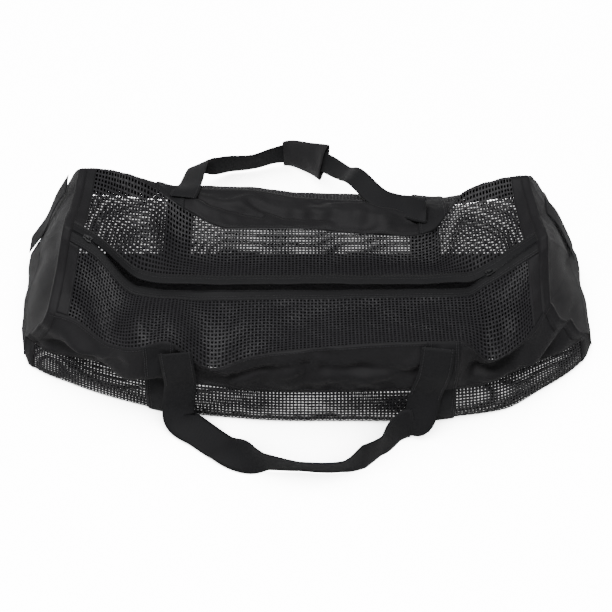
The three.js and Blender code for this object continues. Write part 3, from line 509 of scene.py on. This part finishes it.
def section_at(x):
    """Section of the skin at a place along the bag between the outer edges of the strips."""
    return 1 + (np.asarray(x, float) - LEFT_STRIP_OUTER) / (RIGHT_STRIP_OUTER - LEFT_STRIP_OUTER)


for side, (from_x, to_x) in STRIP_EDGES.items():
    grid, normals = ring_part(FRONT_BAND, BACK_BAND, section_at(np.linspace(from_x, to_x, STRIP_PLACES)))
    thick = webbing_half(np.linspace(-1, 1, STRIP_PLACES))[:, None]
    made[side + "_strip"] = wall_mesh(side + "_strip_webbing", grid, normals, STRIP_OFFSET + thick,
                                      STRIP_OFFSET - thick)

# Rows of a ribbon. One that starts with "on" lies on the skin: share along the bag and CAD column, then
# its stand in webbing thicknesses. One that starts with "at" is free: shares along, back and up. Both
# end with the way that the width points and the share of the full width
FRONT_HANDLE = [
    ("on", (-0.428, 0.4), 1.2, (1, 0, -0.1), 1),
    ("on", (-0.415, 1.5), 5.5, (1, 0, 0), 1),
    ("on", (-0.413, 3), 4, (1, 0, 0), 1),
    ("on", (-0.425, 4.2), 3.5, (1, 0, 0), 1),
    ("at", (-0.425, -0.014, 0.085), 0, (1, 0.15, 0.1), 1),
    ("at", (-0.36, -0.05, 0.03), 0, (0.75, 0.65, 0.05), 1),
    ("at", (-0.28, -0.105, 0.024), 0, (0.8, 0.58, 0.05), 1),
    ("at", (-0.2, -0.158, 0.09), 0, (0.4, 0.5, 0.75), 1),
    ("at", (-0.13, -0.185, 0.128), 0, (0.05, -0.1, 0.98), 1),
    ("at", (-0.02, -0.2, 0.12), 0, (0, -0.3, 0.95), 1),
    ("at", (0.12, -0.2, 0.12), 0, (0, -0.25, 0.95), 1),
    ("at", (0.19, -0.165, 0.12), 0, (-0.2, 0.1, 0.9), 1),
    ("at", (0.25, -0.125, 0.12), 0, (-0.3, -0.25, 0.9), 1),
    ("at", (0.3, -0.068, 0.12), 0, (-0.55, -0.15, 0.8), 1),
    ("at", (0.335, -0.05, 0.14), 0, (-0.9, 0, 0.4), 1),
    ("on", (0.368, 4.2), 11, (-1, 0, 0.1), 1),
    ("on", (0.395, 3), 4, (-1, 0, 0.05), 1),
    ("on", (0.42, 1.5), 2.5, (-1, 0, 0), 1),
    ("on", (0.434, 0.3), 0.6, (-1, 0, 0), 1),
]
BACK_HANDLE = [
    ("on", (-0.435, 17.3), 1.5, (1, 0, 0), 0.9),
    ("on", (-0.425, 16), 2, (1, 0, 0), 0.9),
    ("on", (-0.415, 14.6), 3, (1, 0.1, 0.15), 0.8),
    ("at", (-0.405, 0.96, 0.42), 0, (0.9, 0.3, 0.15), 0.7),
    ("at", (-0.395, 1.05, 0.22), 0, (0.8, 0.3, 0.4), 0.7),
    ("at", (-0.35, 1.08, 0.13), 0, (0.4, 0.2, 0.8), 0.8),
    ("at", (-0.3, 1.095, 0.12), 0, (0.1, -0.1, 0.95), 0.9),
    ("at", (-0.21, 1.105, 0.12), 0, (0, -0.2, 0.95), 0.9),
    ("at", (-0.12, 1.14, 0.12), 0, (0, 0, 0.95), 0.8),
    ("at", (-0.06, 1.15, 0.12), 0, (0, 0.4, 0.87), 0.7),
    ("at", (0.01, 1.115, 0.15), 0, (0.05, 0.6, 0.75), 0.7),
    ("at", (0.07, 1.05, 0.24), 0, (0.15, 0.7, 0.6), 0.7),
    ("at", (0.14, 0.9, 0.47), 0, (0.6, 0.6, 0.3), 0.6),
    ("at", (0.18, 0.77, 0.73), 0, (0.6, 0.7, 0.25), 0.7),
    ("on", (0.25, 15.5), 6.5, (0.35, 0.9, 0.1), 0.8),
    ("on", (0.34, 15.9), 4.5, (0.05, 1, 0.05), 0.85),
    ("on", (0.4, 16.4), 6, (-0.25, 1, 0.05), 0.85),
    ("on", (0.436, 16.7), 9, (-0.6, 0.8, 0.05), 0.9),
]


def over_strip(x, column, stand):
    """Place over the skin at x and a CAD column counted from the front band's top seam."""
    index = FRONT_BAND
    while column > PANELS[index][4]:
        column -= PANELS[index][4]
        index += 1
    share = column / PANELS[index][4]
    near = np.clip([share - 0.02, share, share + 0.02], 0, 1)
    patch = panel_points(index, section_at([x - 1, x, x + 1]), near)
    out = grid_normals(patch)[1, 1]
    return patch[1, 1] + out * (STRIP_OFFSET + WEBBING_THICKNESS * (1 + stand) + SEAT_GAP)


def through(points, places):
    """Centripetal curve through the points, at places counted in points."""
    points = np.asarray(points, float)
    padded = np.vstack([2 * points[0] - points[1], points, 2 * points[-1] - points[-2]])
    found = []
    for place in places:
        k = min(int(place), len(points) - 2)
        t = place - k
        four = padded[k:k + 4]
        d0, d1, d2 = np.maximum(np.linalg.norm(np.diff(four, axis=0), axis=1) ** 0.5, 1e-4)
        p0, p1, p2, p3 = four
        t1 = ((p1 - p0) / d0 - (p2 - p0) / (d0 + d1) + (p2 - p1) / d1) * d1
        t2 = ((p2 - p1) / d1 - (p3 - p1) / (d1 + d2) + (p3 - p2) / d2) * d1
        cubic = (2 * p1 - 2 * p2 + t1 + t2) * t ** 3
        square = (3 * p2 - 3 * p1 - 2 * t1 - t2) * t * t
        found.append(cubic + square + t1 * t + p1)
    return np.array(found)


def ribbon_path(rows, width, steps):
    """Middle points, width directions, normals and half widths along a ribbon."""
    places = [
        over_strip(row[1][0] * HALF_LENGTH, row[1][1], row[2]) if row[0] == "on"
        else np.array(row[1]) * (HALF_LENGTH, DEPTH, HEIGHT)
        for row in rows
    ]
    stops = np.linspace(0, len(rows) - 1, (len(rows) - 1) * steps + 1)
    centres = through(places, stops)
    tangents = unit(np.gradient(centres, axis=0))
    k = np.minimum(stops.astype(int), len(rows) - 2)
    share = (stops - k)[:, None]
    ways = unit(np.array([row[3] for row in rows], float))
    across = unit(ways[k] * (1 - share) + ways[k + 1] * share)
    across = unit(across - tangents * (across * tangents).sum(-1, keepdims=True))
    wide = np.interp(stops, np.arange(len(rows)), [row[4] for row in rows])
    return stops, centres, across, unit(np.cross(across, tangents)), wide * width / 2


def ribbon_mesh(name, path):
    """Webbing along a path that ribbon_path gives."""
    _, centres, across, normals, half = path
    places = np.linspace(-1, 1, RIBBON_PLACES)
    grid = centres[:, None] + across[:, None] * (half[:, None] * places)[..., None]
    return wall_mesh(name, grid, np.repeat(normals[:, None], RIBBON_PLACES, axis=1), webbing_half(places))


RIBBON_STEPS = 8
front_path = ribbon_path(FRONT_HANDLE, WEBBING_WIDTH, RIBBON_STEPS)
back_path = ribbon_path(BACK_HANDLE, WEBBING_WIDTH, RIBBON_STEPS)
made["front_handle"] = ribbon_mesh("front_handle_webbing", front_path)
made["back_handle"] = ribbon_mesh("back_handle_webbing", back_path)

# Wrap round the back handle: at places counted in the handle's rows, how much wider it is than at its
# narrowest. Then what it stands out past the webbing's sides, half its depth, its ruffle and its wall
GRIP_FLARE = [(8.5, 1), (9, 2), (9.5, 3), (10, 4.5), (10.5, 7), (11, 10)]
GRIP_SIDE = 5.2
GRIP_HALF_DEPTH = 5.6
GRIP_RUFFLE = 0.5
GRIP_WALL = 1.8
GRIP_POINTS = 40
flare_at, flare = zip(*GRIP_FLARE)
grip_stops = [k for k, stop in enumerate(back_path[0]) if flare_at[0] <= stop <= flare_at[-1]]
angles = np.linspace(0, 2 * math.pi, GRIP_POINTS, endpoint=False)
rings = []
for k in grip_stops:
    _, centres, across, normals, half = (part[k] for part in back_path)
    wide = half + GRIP_SIDE + np.interp(back_path[0][k], flare_at, flare)
    deep = GRIP_HALF_DEPTH + GRIP_RUFFLE * np.sin(angles * 3 + k * 0.7)
    ring = centres + across * (np.cos(angles) * wide)[:, None] + normals * (np.sin(angles) * deep)[:, None]
    rings.append(ring)
grip = np.array(rings)
grip_out = unit(grip - grip.mean(axis=1, keepdims=True))
made["handle_grip"] = wall_mesh("handle_grip_wrap", grip, grip_out, 0.0, -GRIP_WALL, closed=True)

# Short grab handles over the end panels: shares back and up, and stand in webbing thicknesses
GRAB_WIDTH = 38
GRAB_STEPS = 8
GRABS = {
    "left": (-1, [(0.69, 0.86, 3), (0.68, 0.68, 3.5), (0.665, 0.46, 3.5), (0.65, 0.26, 3)]),
    "right": (1, [(0.6, 0.84, 1.6), (0.595, 0.7, 2.6), (0.59, 0.52, 2.6), (0.585, 0.36, 1.2)]),
}
for side, (direction, rows) in GRABS.items():
    cloth_points = end_grids[side].reshape(-1, 3)
    places = []
    for back, up, stand in rows:
        away = np.hypot(cloth_points[:, 1] - back * DEPTH, cloth_points[:, 2] - up * HEIGHT)
        near = cloth_points[np.argsort(away)[:6]]
        x = near[:, 0].max() if direction > 0 else near[:, 0].min()
        x += direction * (WALL / 2 + SEAT_GAP + WEBBING_THICKNESS * (0.5 + stand))
        places.append((x, back * DEPTH, up * HEIGHT))
    stops = np.linspace(0, len(places) - 1, (len(places) - 1) * GRAB_STEPS + 1)
    centres = through(places, stops)
    tangents = unit(np.gradient(centres, axis=0))
    across = np.repeat([[0, 1.0, 0]], len(stops), axis=0)
    normals = unit(np.cross(across, tangents))
    path = (stops, centres, across, normals, np.full(len(stops), GRAB_WIDTH / 2))
    made[side + "_grab_handle"] = ribbon_mesh(side + "_grab_webbing", path)


def add_node(tree, kind, inputs=None, **settings):
    """One node with its settings; inputs are values for its sockets or outputs to link from."""
    node = tree.nodes.new(kind)
    for key, value in settings.items():
        setattr(node, key, value)
    for key, value in (inputs or {}).items():
        if isinstance(value, bpy.types.NodeSocket):
            tree.links.new(value, node.inputs[key])
        else:
            node.inputs[key].default_value = value
    return node


def colour(code):
    """Linear colour from an sRGB hex code."""
    parts = [int(code[k:k + 2], 16) / 255 for k in (1, 3, 5)]
    return [p / 12.92 if p <= 0.04045 else ((p + 0.055) / 1.055) ** 2.4 for p in parts] + [1]


# Scale of a wave texture that gives one band a metre, and of the slow mottling of a cloth's tone
BAND_A_METRE = 0.314
MOTTLE = 12.0


def weave_material(name, dark, light, roughness, pitch, bump, sheen, mapped=True, slant=False):
    """Woven stuff: two crossed bands at the yarn's pitch in metres, over a slow mottling of tone."""
    material = bpy.data.materials.new(name)
    material.use_nodes = True
    tree = material.node_tree
    shader = tree.nodes["Principled BSDF"]
    place = add_node(tree, "ShaderNodeTexCoord")
    spot = place.outputs["UV" if mapped else "Object"]
    patches = add_node(tree, "ShaderNodeTexNoise", {
        "Vector": place.outputs["Object"], "Scale": MOTTLE, "Detail": 4.0, "Roughness": 0.55})
    ramp = add_node(tree, "ShaderNodeMix", {
        "Factor": patches.outputs["Fac"], "A": colour(dark), "B": colour(light)}, data_type="RGBA")
    bands = []
    for direction in ("X", "Y"):
        slanted = slant and direction == "X"
        bands.append(add_node(tree, "ShaderNodeTexWave", {
            "Vector": spot, "Scale": BAND_A_METRE / (pitch * (1.4 if slanted else 1.0)),
            "Distortion": 0.6 if slanted else 0.35, "Detail": 1.0},
            bands_direction="DIAGONAL" if slanted else direction))
    weave = add_node(tree, "ShaderNodeMath", {0: bands[0].outputs["Fac"], 1: bands[1].outputs["Fac"]},
                     operation="MAXIMUM")
    relief = add_node(tree, "ShaderNodeBump", {
        "Strength": bump, "Distance": pitch * 0.4, "Height": weave.outputs[0]})
    rough = add_node(tree, "ShaderNodeMapRange", {
        "Value": patches.outputs["Fac"], "To Min": roughness - 0.06, "To Max": roughness + 0.08})
    shader.inputs["Sheen Weight"].default_value = sheen
    shader.inputs["Sheen Roughness"].default_value = 0.45
    shader.inputs["Specular IOR Level"].default_value = 0.35
    tree.links.new(ramp.outputs["Result"], shader.inputs["Base Color"])
    tree.links.new(rough.outputs["Result"], shader.inputs["Roughness"])
    tree.links.new(relief.outputs["Normal"], shader.inputs["Normal"])
    return material


# Coated polyamide cloth: near black with a soft dull shine on its folds and a fine plain weave
nylon = weave_material("coated_nylon_cloth", "#131214", "#1c1b1e", 0.66, 0.0011, 0.35, 0.06)
# Coated polyester net: a little paler and smoother than the cloth, so that its strands show
net = weave_material("coated_polyester_net", "#1f1e21", "#29282b", 0.5, 0.0016, 0.25, 0.04, mapped=False)
# Polypropylene webbing: matt, with cords that run its length and a slanted bind
webbing = weave_material("polypropylene_webbing", "#111113", "#18181b", 0.76, 0.0016, 0.3, 0.05, slant=True)
# Woven zip tape: the darkest piece, fine and flat
tape = weave_material("polyester_zip_tape", "#0d0d0f", "#131316", 0.66, 0.0009, 0.4, 0.05)
# Handle wrap: a thicker, softer cloth that takes a little more light
wrap = weave_material("nylon_handle_wrap", "#1c1b1d", "#262527", 0.7, 0.0013, 0.4, 0.2)
# Nylon teeth of the zip's coil, a little glossier than the tape
coil = weave_material("nylon_zip_coil", "#111113", "#19191c", 0.4, 0.001, 0.2, 0.0, mapped=False)
# Black lacquer on the zip sliders, with the small highlights of hard metal
lacquer = weave_material("black_lacquered_metal", "#101012", "#1a1a1c", 0.3, 0.004, 0.05, 0.0, mapped=False)
lacquer.node_tree.nodes["Principled BSDF"].inputs["Specular IOR Level"].default_value = 0.6
# Sewing thread: slightly paler than the cloth, so that a row of stitches shows as a fine line
thread = weave_material("polyester_thread", "#2a292c", "#383739", 0.6, 0.0005, 0.3, 0.1, mapped=False)

# Material and slot of each piece
FINISH = {
    "front_side_band": (nylon, "nylon"), "back_side_band": (nylon, "nylon"), "bottom_panel": (nylon, "nylon"),
    "left_end_panel": (nylon, "nylon"), "right_end_panel": (nylon, "nylon"),
    "left_front_trim": (nylon, "nylon"), "left_back_trim": (nylon, "nylon"),
    "right_front_trim": (nylon, "nylon"), "right_back_trim": (nylon, "nylon"),
    "zip_tape_front": (tape, "zip_tape"), "zip_tape_back": (tape, "zip_tape"),
    "left_strip": (webbing, "webbing"), "right_strip": (webbing, "webbing"),
    "front_handle": (webbing, "webbing"), "back_handle": (webbing, "webbing"),
    "left_grab_handle": (webbing, "webbing"), "right_grab_handle": (webbing, "webbing"),
    "handle_grip": (wrap, "grip_wrap"),
}


def node_group(name, wanted):
    """Geometry nodes group that takes a mesh and these inputs, with their identifiers and both its ends."""
    tree = bpy.data.node_groups.new(name, "GeometryNodeTree")
    face = tree.interface
    face.new_socket("Geometry", in_out="INPUT", socket_type="NodeSocketGeometry")
    sockets = {}
    for label, kind in {**wanted, "Seed": "Int", "Material": "Material"}.items():
        sockets[label] = face.new_socket(label, in_out="INPUT", socket_type="NodeSocket" + kind).identifier
    face.new_socket("Geometry", in_out="OUTPUT", socket_type="NodeSocketGeometry")
    return tree, sockets, add_node(tree, "NodeGroupInput").outputs, add_node(tree, "NodeGroupOutput")


def finish_group(tree, geometry, given, end):
    """Ends a group: its instances made real and its material set."""
    solid = add_node(tree, "GeometryNodeRealizeInstances", {"Geometry": geometry})
    painted = add_node(tree, "GeometryNodeSetMaterial", {
        "Geometry": solid.outputs["Geometry"], "Material": given["Material"]})
    tree.links.new(painted.outputs["Geometry"], end.inputs["Geometry"])


def net_group():
    """Geometry nodes: every cell of a grid becomes a frame with a hole, and the whole gets a thickness."""
    wanted = {"Open share": "Float", "Unevenness": "Float", "Thickness": "Float"}
    tree, sockets, given, end = node_group("woven_net", wanted)
    chance = add_node(tree, "FunctionNodeRandomValue", {"Seed": given["Seed"]}, data_type="FLOAT")
    spread = add_node(tree, "ShaderNodeMapRange", {
        "Value": chance.outputs[1], "To Min": 1.0, "To Max": given["Unevenness"]})
    size = add_node(tree, "ShaderNodeMath", {0: given["Open share"], 1: spread.outputs["Result"]},
                    operation="MULTIPLY")
    cells = add_node(tree, "GeometryNodeExtrudeMesh", {
        "Mesh": given["Geometry"], "Offset Scale": 0.0, "Individual": True}, mode="FACES")
    holes = add_node(tree, "GeometryNodeScaleElements", {
        "Geometry": cells.outputs["Mesh"], "Selection": cells.outputs["Top"], "Scale": size.outputs[0]},
        domain="FACE")
    sheet = add_node(tree, "GeometryNodeDeleteGeometry", {
        "Geometry": holes.outputs["Geometry"], "Selection": cells.outputs["Top"]}, domain="FACE")
    raised = add_node(tree, "GeometryNodeExtrudeMesh", {
        "Mesh": sheet.outputs["Geometry"], "Offset Scale": given["Thickness"], "Individual": False},
        mode="FACES")
    back = add_node(tree, "GeometryNodeFlipFaces", {"Mesh": sheet.outputs["Geometry"]})
    both = add_node(tree, "GeometryNodeJoinGeometry")
    tree.links.new(raised.outputs["Mesh"], both.inputs["Geometry"])
    tree.links.new(back.outputs["Mesh"], both.inputs["Geometry"])
    sewn = add_node(tree, "GeometryNodeMergeByDistance", {
        "Geometry": both.outputs["Geometry"], "Distance": 1e-5})
    finish_group(tree, sewn.outputs["Geometry"], given, end)
    return tree, sockets


def grown(piece, group, values, finish):
    """Runs a geometry nodes group on a piece once and keeps the result as its plain mesh."""
    tree, sockets = group
    modifier = piece.modifiers.new("nodes", "NODES")
    modifier.node_group = tree
    for label, value in {**values, "Material": finish}.items():
        modifier[sockets[label]] = value
    evaluated = piece.evaluated_get(bpy.context.evaluated_depsgraph_get())
    plain = bpy.data.meshes.new_from_object(evaluated)
    plain.name = piece.name
    piece.modifiers.remove(modifier)
    piece.data = plain
    plain.materials.clear()
    plain.materials.append(finish)
    return piece


def net_grid(panel_indexes, q_from, q_to):
    """Grid of a net over some panels, a cell for each of its holes, rising and sinking as it is woven."""
    fine = np.linspace(q_from, q_to, 400)
    middle = panel_points(panel_indexes[0], fine, np.array([0.5]))[:, 0]
    run = np.concatenate([[0], np.cumsum(np.linalg.norm(np.diff(middle, axis=0), axis=1))])
    q = np.interp(np.linspace(0, run[-1], int(run[-1] / NET_PITCH) + 1), run, fine)
    parts = []
    for index in panel_indexes:
        chord = panel_points(index, np.array([1.5]), np.array([0.0, 1.0]))[0]
        cells = max(2, round(np.linalg.norm(chord[1] - chord[0]) / NET_PITCH))
        parts.append(panel_points(index, q, np.arange(cells + (index == panel_indexes[-1])) / cells))
    grid = np.concatenate(parts, axis=1)
    rows, columns = grid.shape[:2]
    weave = NET_WAVE * (-1.0) ** (np.arange(rows)[:, None] + np.arange(columns)[None, :])
    return grid + grid_normals(grid) * (weave - NET_THICKNESS / 2)[..., None]


NET_GROUP = net_group()
NETS = {
    "front_top_mesh": ([1], TRIM_SHARE, 3 - TRIM_SHARE),
    "back_top_mesh": ([9], TRIM_SHARE, 3 - TRIM_SHARE),
    "front_lower_mesh": ([3, 4], 0, 3),
    "back_lower_mesh": ([6, 7], 0, 3),
}
for seed, (name, (indexes, q_from, q_to)) in enumerate(NETS.items()):
    grid = net_grid(indexes, q_from, q_to)
    numbers = np.arange(grid.shape[0] * grid.shape[1]).reshape(grid.shape[:2])
    corners = (numbers[:-1, :-1], numbers[:-1, 1:], numbers[1:, 1:], numbers[1:, :-1])
    faces = np.stack([corner.ravel() for corner in corners], axis=1)
    piece = put_mesh(name + "_woven_net", grid.reshape(-1, 3), faces.tolist(), smooth=False)
    made[name] = grown(piece, NET_GROUP, {
        "Open share": NET_OPEN, "Unevenness": NET_UNEVEN, "Thickness": NET_THICKNESS / 1000,
        "Seed": seed}, net)
    FINISH[name] = (net, "net")


def row_group():
    """Geometry nodes: short round pieces set along every line of a mesh at an even spacing."""
    wanted = {"Spacing": "Float", "Piece length": "Float", "Piece radius": "Float"}
    tree, sockets, given, end = node_group("row_of_pieces", wanted)
    lines = add_node(tree, "GeometryNodeMeshToCurve", {"Mesh": given["Geometry"]})
    stops = add_node(tree, "GeometryNodeCurveToPoints", {
        "Curve": lines.outputs["Curve"], "Length": given["Spacing"]}, mode="LENGTH")
    one = add_node(tree, "GeometryNodeMeshCylinder", {
        "Vertices": 6, "Radius": given["Piece radius"], "Depth": given["Piece length"]})
    chance = add_node(tree, "FunctionNodeRandomValue", {2: 0.85, 3: 1.1, "Seed": given["Seed"]},
                      data_type="FLOAT")
    placed = add_node(tree, "GeometryNodeInstanceOnPoints", {
        "Points": stops.outputs["Points"], "Instance": one.outputs["Mesh"],
        "Rotation": stops.outputs["Rotation"], "Scale": chance.outputs[1]})
    finish_group(tree, placed.outputs["Instances"], given, end)
    return tree, sockets


ROW_GROUP = row_group()


def row_piece(name, lines, spacing, length, radius, finish, seed):
    """Pieces in rows along lines of points in millimetres."""
    starts = np.cumsum([0] + [len(line) for line in lines])
    edges = [(k, k + 1) for first, last in zip(starts[:-1], starts[1:]) for k in range(first, last - 1)]
    mesh = bpy.data.meshes.new(name)
    mesh.from_pydata(to_frame(np.concatenate(lines)).tolist(), edges, [])
    piece = bpy.data.objects.new(name, mesh)
    bpy.context.scene.collection.objects.link(piece)
    return grown(piece, ROW_GROUP, {
        "Spacing": spacing / 1000, "Piece length": length / 1000, "Piece radius": radius / 1000,
        "Seed": seed}, finish)


def skin_line(panel, share, lift, end_gap=0.02):
    """A line along one panel at a share across it, lifted off the skin, that stops short of both ends."""
    q = np.linspace(end_gap, 3 - end_gap, 240)
    patch = panel_points(panel, q, np.array([share - 0.01, share, share + 0.01]))
    return patch[:, 1] + grid_normals(patch)[:, 1] * lift


# Stitches along the seams: panel, share across it and lift off the skin
SEAM_ROWS = [
    (FRONT_BAND, 0.05, 2.2), (FRONT_BAND, 0.94, 2.2), (BACK_BAND, 0.05, 2.2), (BACK_BAND, 0.95, 2.2),
    (0, 0.85, 1.5), (10, 0.15, 1.5), (0, 0.62, 1.5), (10, 0.38, 1.5),
]
seam_stitches = [skin_line(panel, share, lift) for panel, share, lift in SEAM_ROWS]

# Two rows of stitches by each edge of the strips, which stop above the floor
STRIP_INSETS = (3, 6)
STITCH_LIFT = 0.15
STITCH_LOWEST = 4
strip_stitches = []
for from_x, to_x in STRIP_EDGES.values():
    outer, inner = STRIP_INSETS
    for x in (from_x + outer, from_x + inner, to_x - inner, to_x - outer):
        grid, normals = ring_part(FRONT_BAND, BACK_BAND, section_at([x - 1, x, x + 1]))
        line = grid[1] + normals[1] * (STRIP_OFFSET + WEBBING_THICKNESS / 2 + STITCH_LIFT)
        under = np.flatnonzero(line[:, 2] <= STITCH_LOWEST)
        strip_stitches.extend([line[:under[0]], line[under[-1] + 1:]])

# Stitches on both faces of the handles, over this many points of their sewn ends
HANDLE_INSET = 4
HANDLE_LIFT = WEBBING_THICKNESS / 2 + 0.1
handle_stitches = []
for path, count in ((front_path, 17), (back_path, 13)):
    _, centres, across, normals, half = path
    for part in (slice(0, count), slice(-count, None)):
        for side in (-1, 1):
            inset = across[part] * (side * (half[part] - HANDLE_INSET))[:, None]
            for face in (-1, 1):
                handle_stitches.append(centres[part] + inset + normals[part] * face * HANDLE_LIFT)

# Teeth of the zip's coil, on the inner edges of its tapes
coil_lines = [skin_line(0, 0.03, 1.0, 0.06), skin_line(10, 0.97, 1.0, 0.06)]

# Each row piece: spacing, length and radius of its small pieces in millimetres, finish and seed
rows = [
    (row_piece("seam_stitches", seam_stitches, 4.6, 3.3, 0.4, thread, 11), "nylon"),
    (row_piece("strip_stitches", strip_stitches, 4.2, 3.0, 0.4, thread, 12), "webbing"),
    (row_piece("handle_stitches", handle_stitches, 4.2, 3.0, 0.4, thread, 13), "webbing"),
    (row_piece("zip_coil", coil_lines, 2.3, 1.3, 1.35, coil, 14), "zip_tape"),
]
for piece, slot_name in rows:
    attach(piece, "root")

for name, piece in made.items():
    finish, slot_name = FINISH[name]
    if not piece.data.materials:
        piece.data.materials.append(finish)
    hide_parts(name)
    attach(piece, "root")

for piece in bindings.values():
    piece.data.materials.append(nylon)
    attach(piece, "root")

for name in ("zip_slider_left", "zip_slider_right"):
    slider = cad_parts[name]
    slider.data.materials.clear()
    slider.data.materials.append(lacquer)



def plain_material(name, code, roughness):
    """Finish of the floor: one tone that goes slowly up to white."""
    material = bpy.data.materials.new(name)
    material.use_nodes = True
    tree = material.node_tree
    place = add_node(tree, "ShaderNodeTexCoord")
    noise = add_node(tree, "ShaderNodeTexNoise", {"Vector": place.outputs["Object"], "Scale": 3.0})
    tone = add_node(tree, "ShaderNodeMix", {
        "Factor": noise.outputs["Fac"], "A": colour(code), "B": colour("#ffffff")}, data_type="RGBA")
    shader = tree.nodes["Principled BSDF"]
    shader.inputs["Roughness"].default_value = roughness
    shader.inputs["Specular IOR Level"].default_value = 0.1
    tree.links.new(tone.outputs["Result"], shader.inputs["Base Color"])
    return material


# Floor, in metres: wide enough to pass out of every view, and a hair under the bag
FLOOR_HALF = 8
FLOOR_AT = -0.001
floor_corners = [(x * FLOOR_HALF, y * FLOOR_HALF, FLOOR_AT) for x, y in ((-1, -1), (1, -1), (1, 1), (-1, 1))]
floor_mesh = bpy.data.meshes.new("floor")
floor_mesh.from_pydata(floor_corners, [], [(0, 1, 2, 3)])
floor = bpy.data.objects.new("floor", floor_mesh)
bpy.context.scene.collection.objects.link(floor)
floor_finish = plain_material("white_studio_floor", "#c4c4c4", 0.9)
floor_mesh.materials.append(floor_finish)


def shown_bright(tree, socket, plain, bright, painted_shadow):
    """Strength that the camera alone sees raised, so that the background clears to white as in the photo.
    Where the last argument is true it falls off under the bag, as the light there does: painted shadow, from
    an ambient occlusion mask."""
    path = add_node(tree, "ShaderNodeLightPath")
    raised = path.outputs["Is Camera Ray"]
    if painted_shadow:
        # Painted shadow: ambient occlusion darkens the glow under and near the bag
        painted_shadow_occlusion = add_node(tree, "ShaderNodeAmbientOcclusion", {"Distance": 0.3}, samples=8)
        clear = add_node(tree, "ShaderNodeMapRange", {
            "Value": painted_shadow_occlusion.outputs["AO"], "From Min": 0.1, "From Max": 0.85, "To Min": 0.06,
            "To Max": 1.0}, interpolation_type="SMOOTHSTEP")
        both = add_node(tree, "ShaderNodeMath", {0: raised, 1: clear.outputs["Result"]},
                        operation="MULTIPLY")
        raised = both.outputs[0]
    strength = add_node(tree, "ShaderNodeMapRange", {"Value": raised, "To Min": plain, "To Max": bright})
    tree.links.new(strength.outputs["Result"], socket)


# The floor glows white to the camera alone, with painted shadow under the bag
floor_shader = floor_finish.node_tree.nodes["Principled BSDF"]
floor_shader.inputs["Emission Color"].default_value = colour("#ffffff")
shown_bright(floor_finish.node_tree, floor_shader.inputs["Emission Strength"], 0.0, 14.0, True)


def area_light(name, place, aim, size, power):
    """Soft lamp at a place in metres that points at another, with its two sizes and its watts."""
    lamp = bpy.data.lights.new(name, "AREA")
    lamp.shape = "RECTANGLE"
    lamp.size, lamp.size_y = size
    lamp.energy = power
    holder = bpy.data.objects.new(name, lamp)
    holder.location = place
    holder.rotation_euler = (Vector(aim) - Vector(place)).to_track_quat("-Z", "Y").to_euler()
    bpy.context.scene.collection.objects.link(holder)


area_light("soft_top", (-0.3, -0.5, 2.4), (0, 0, 0), (1.0, 0.6), 52)
area_light("soft_left", (-2.0, 0.6, 1.6), (0, 0, 0.1), (1.2, 0.9), 1)
area_light("soft_right", (2.0, 0.5, 1.6), (0, 0, 0.1), (1.2, 0.9), 1)

world = bpy.data.worlds.new("white_studio")
world.use_nodes = True
background = world.node_tree.nodes["Background"]
background.inputs["Color"].default_value = colour("#ffffff")
shown_bright(world.node_tree, background.inputs["Strength"], 0.26, 13.0, False)
bpy.context.scene.world = world

# Camera at the photograph's angle: 50 degrees above the horizon, straight on to the bag's front
CAMERA_ANGLE = math.radians(50)
CAMERA_REACH = 2.4
CAMERA_LENS = 84.7
CAMERA_AIM = Vector((0.0014, -0.0023, 0))
camera_data = bpy.data.cameras.new("camera")
camera_data.lens = CAMERA_LENS
camera_data.sensor_width = 36
camera = bpy.data.objects.new("camera", camera_data)
camera.location = CAMERA_AIM + CAMERA_REACH * Vector((0, -math.cos(CAMERA_ANGLE), math.sin(CAMERA_ANGLE)))
camera.rotation_euler = (math.radians(90) - CAMERA_ANGLE, 0, 0)
bpy.context.scene.collection.objects.link(camera)
bpy.context.scene.camera = camera
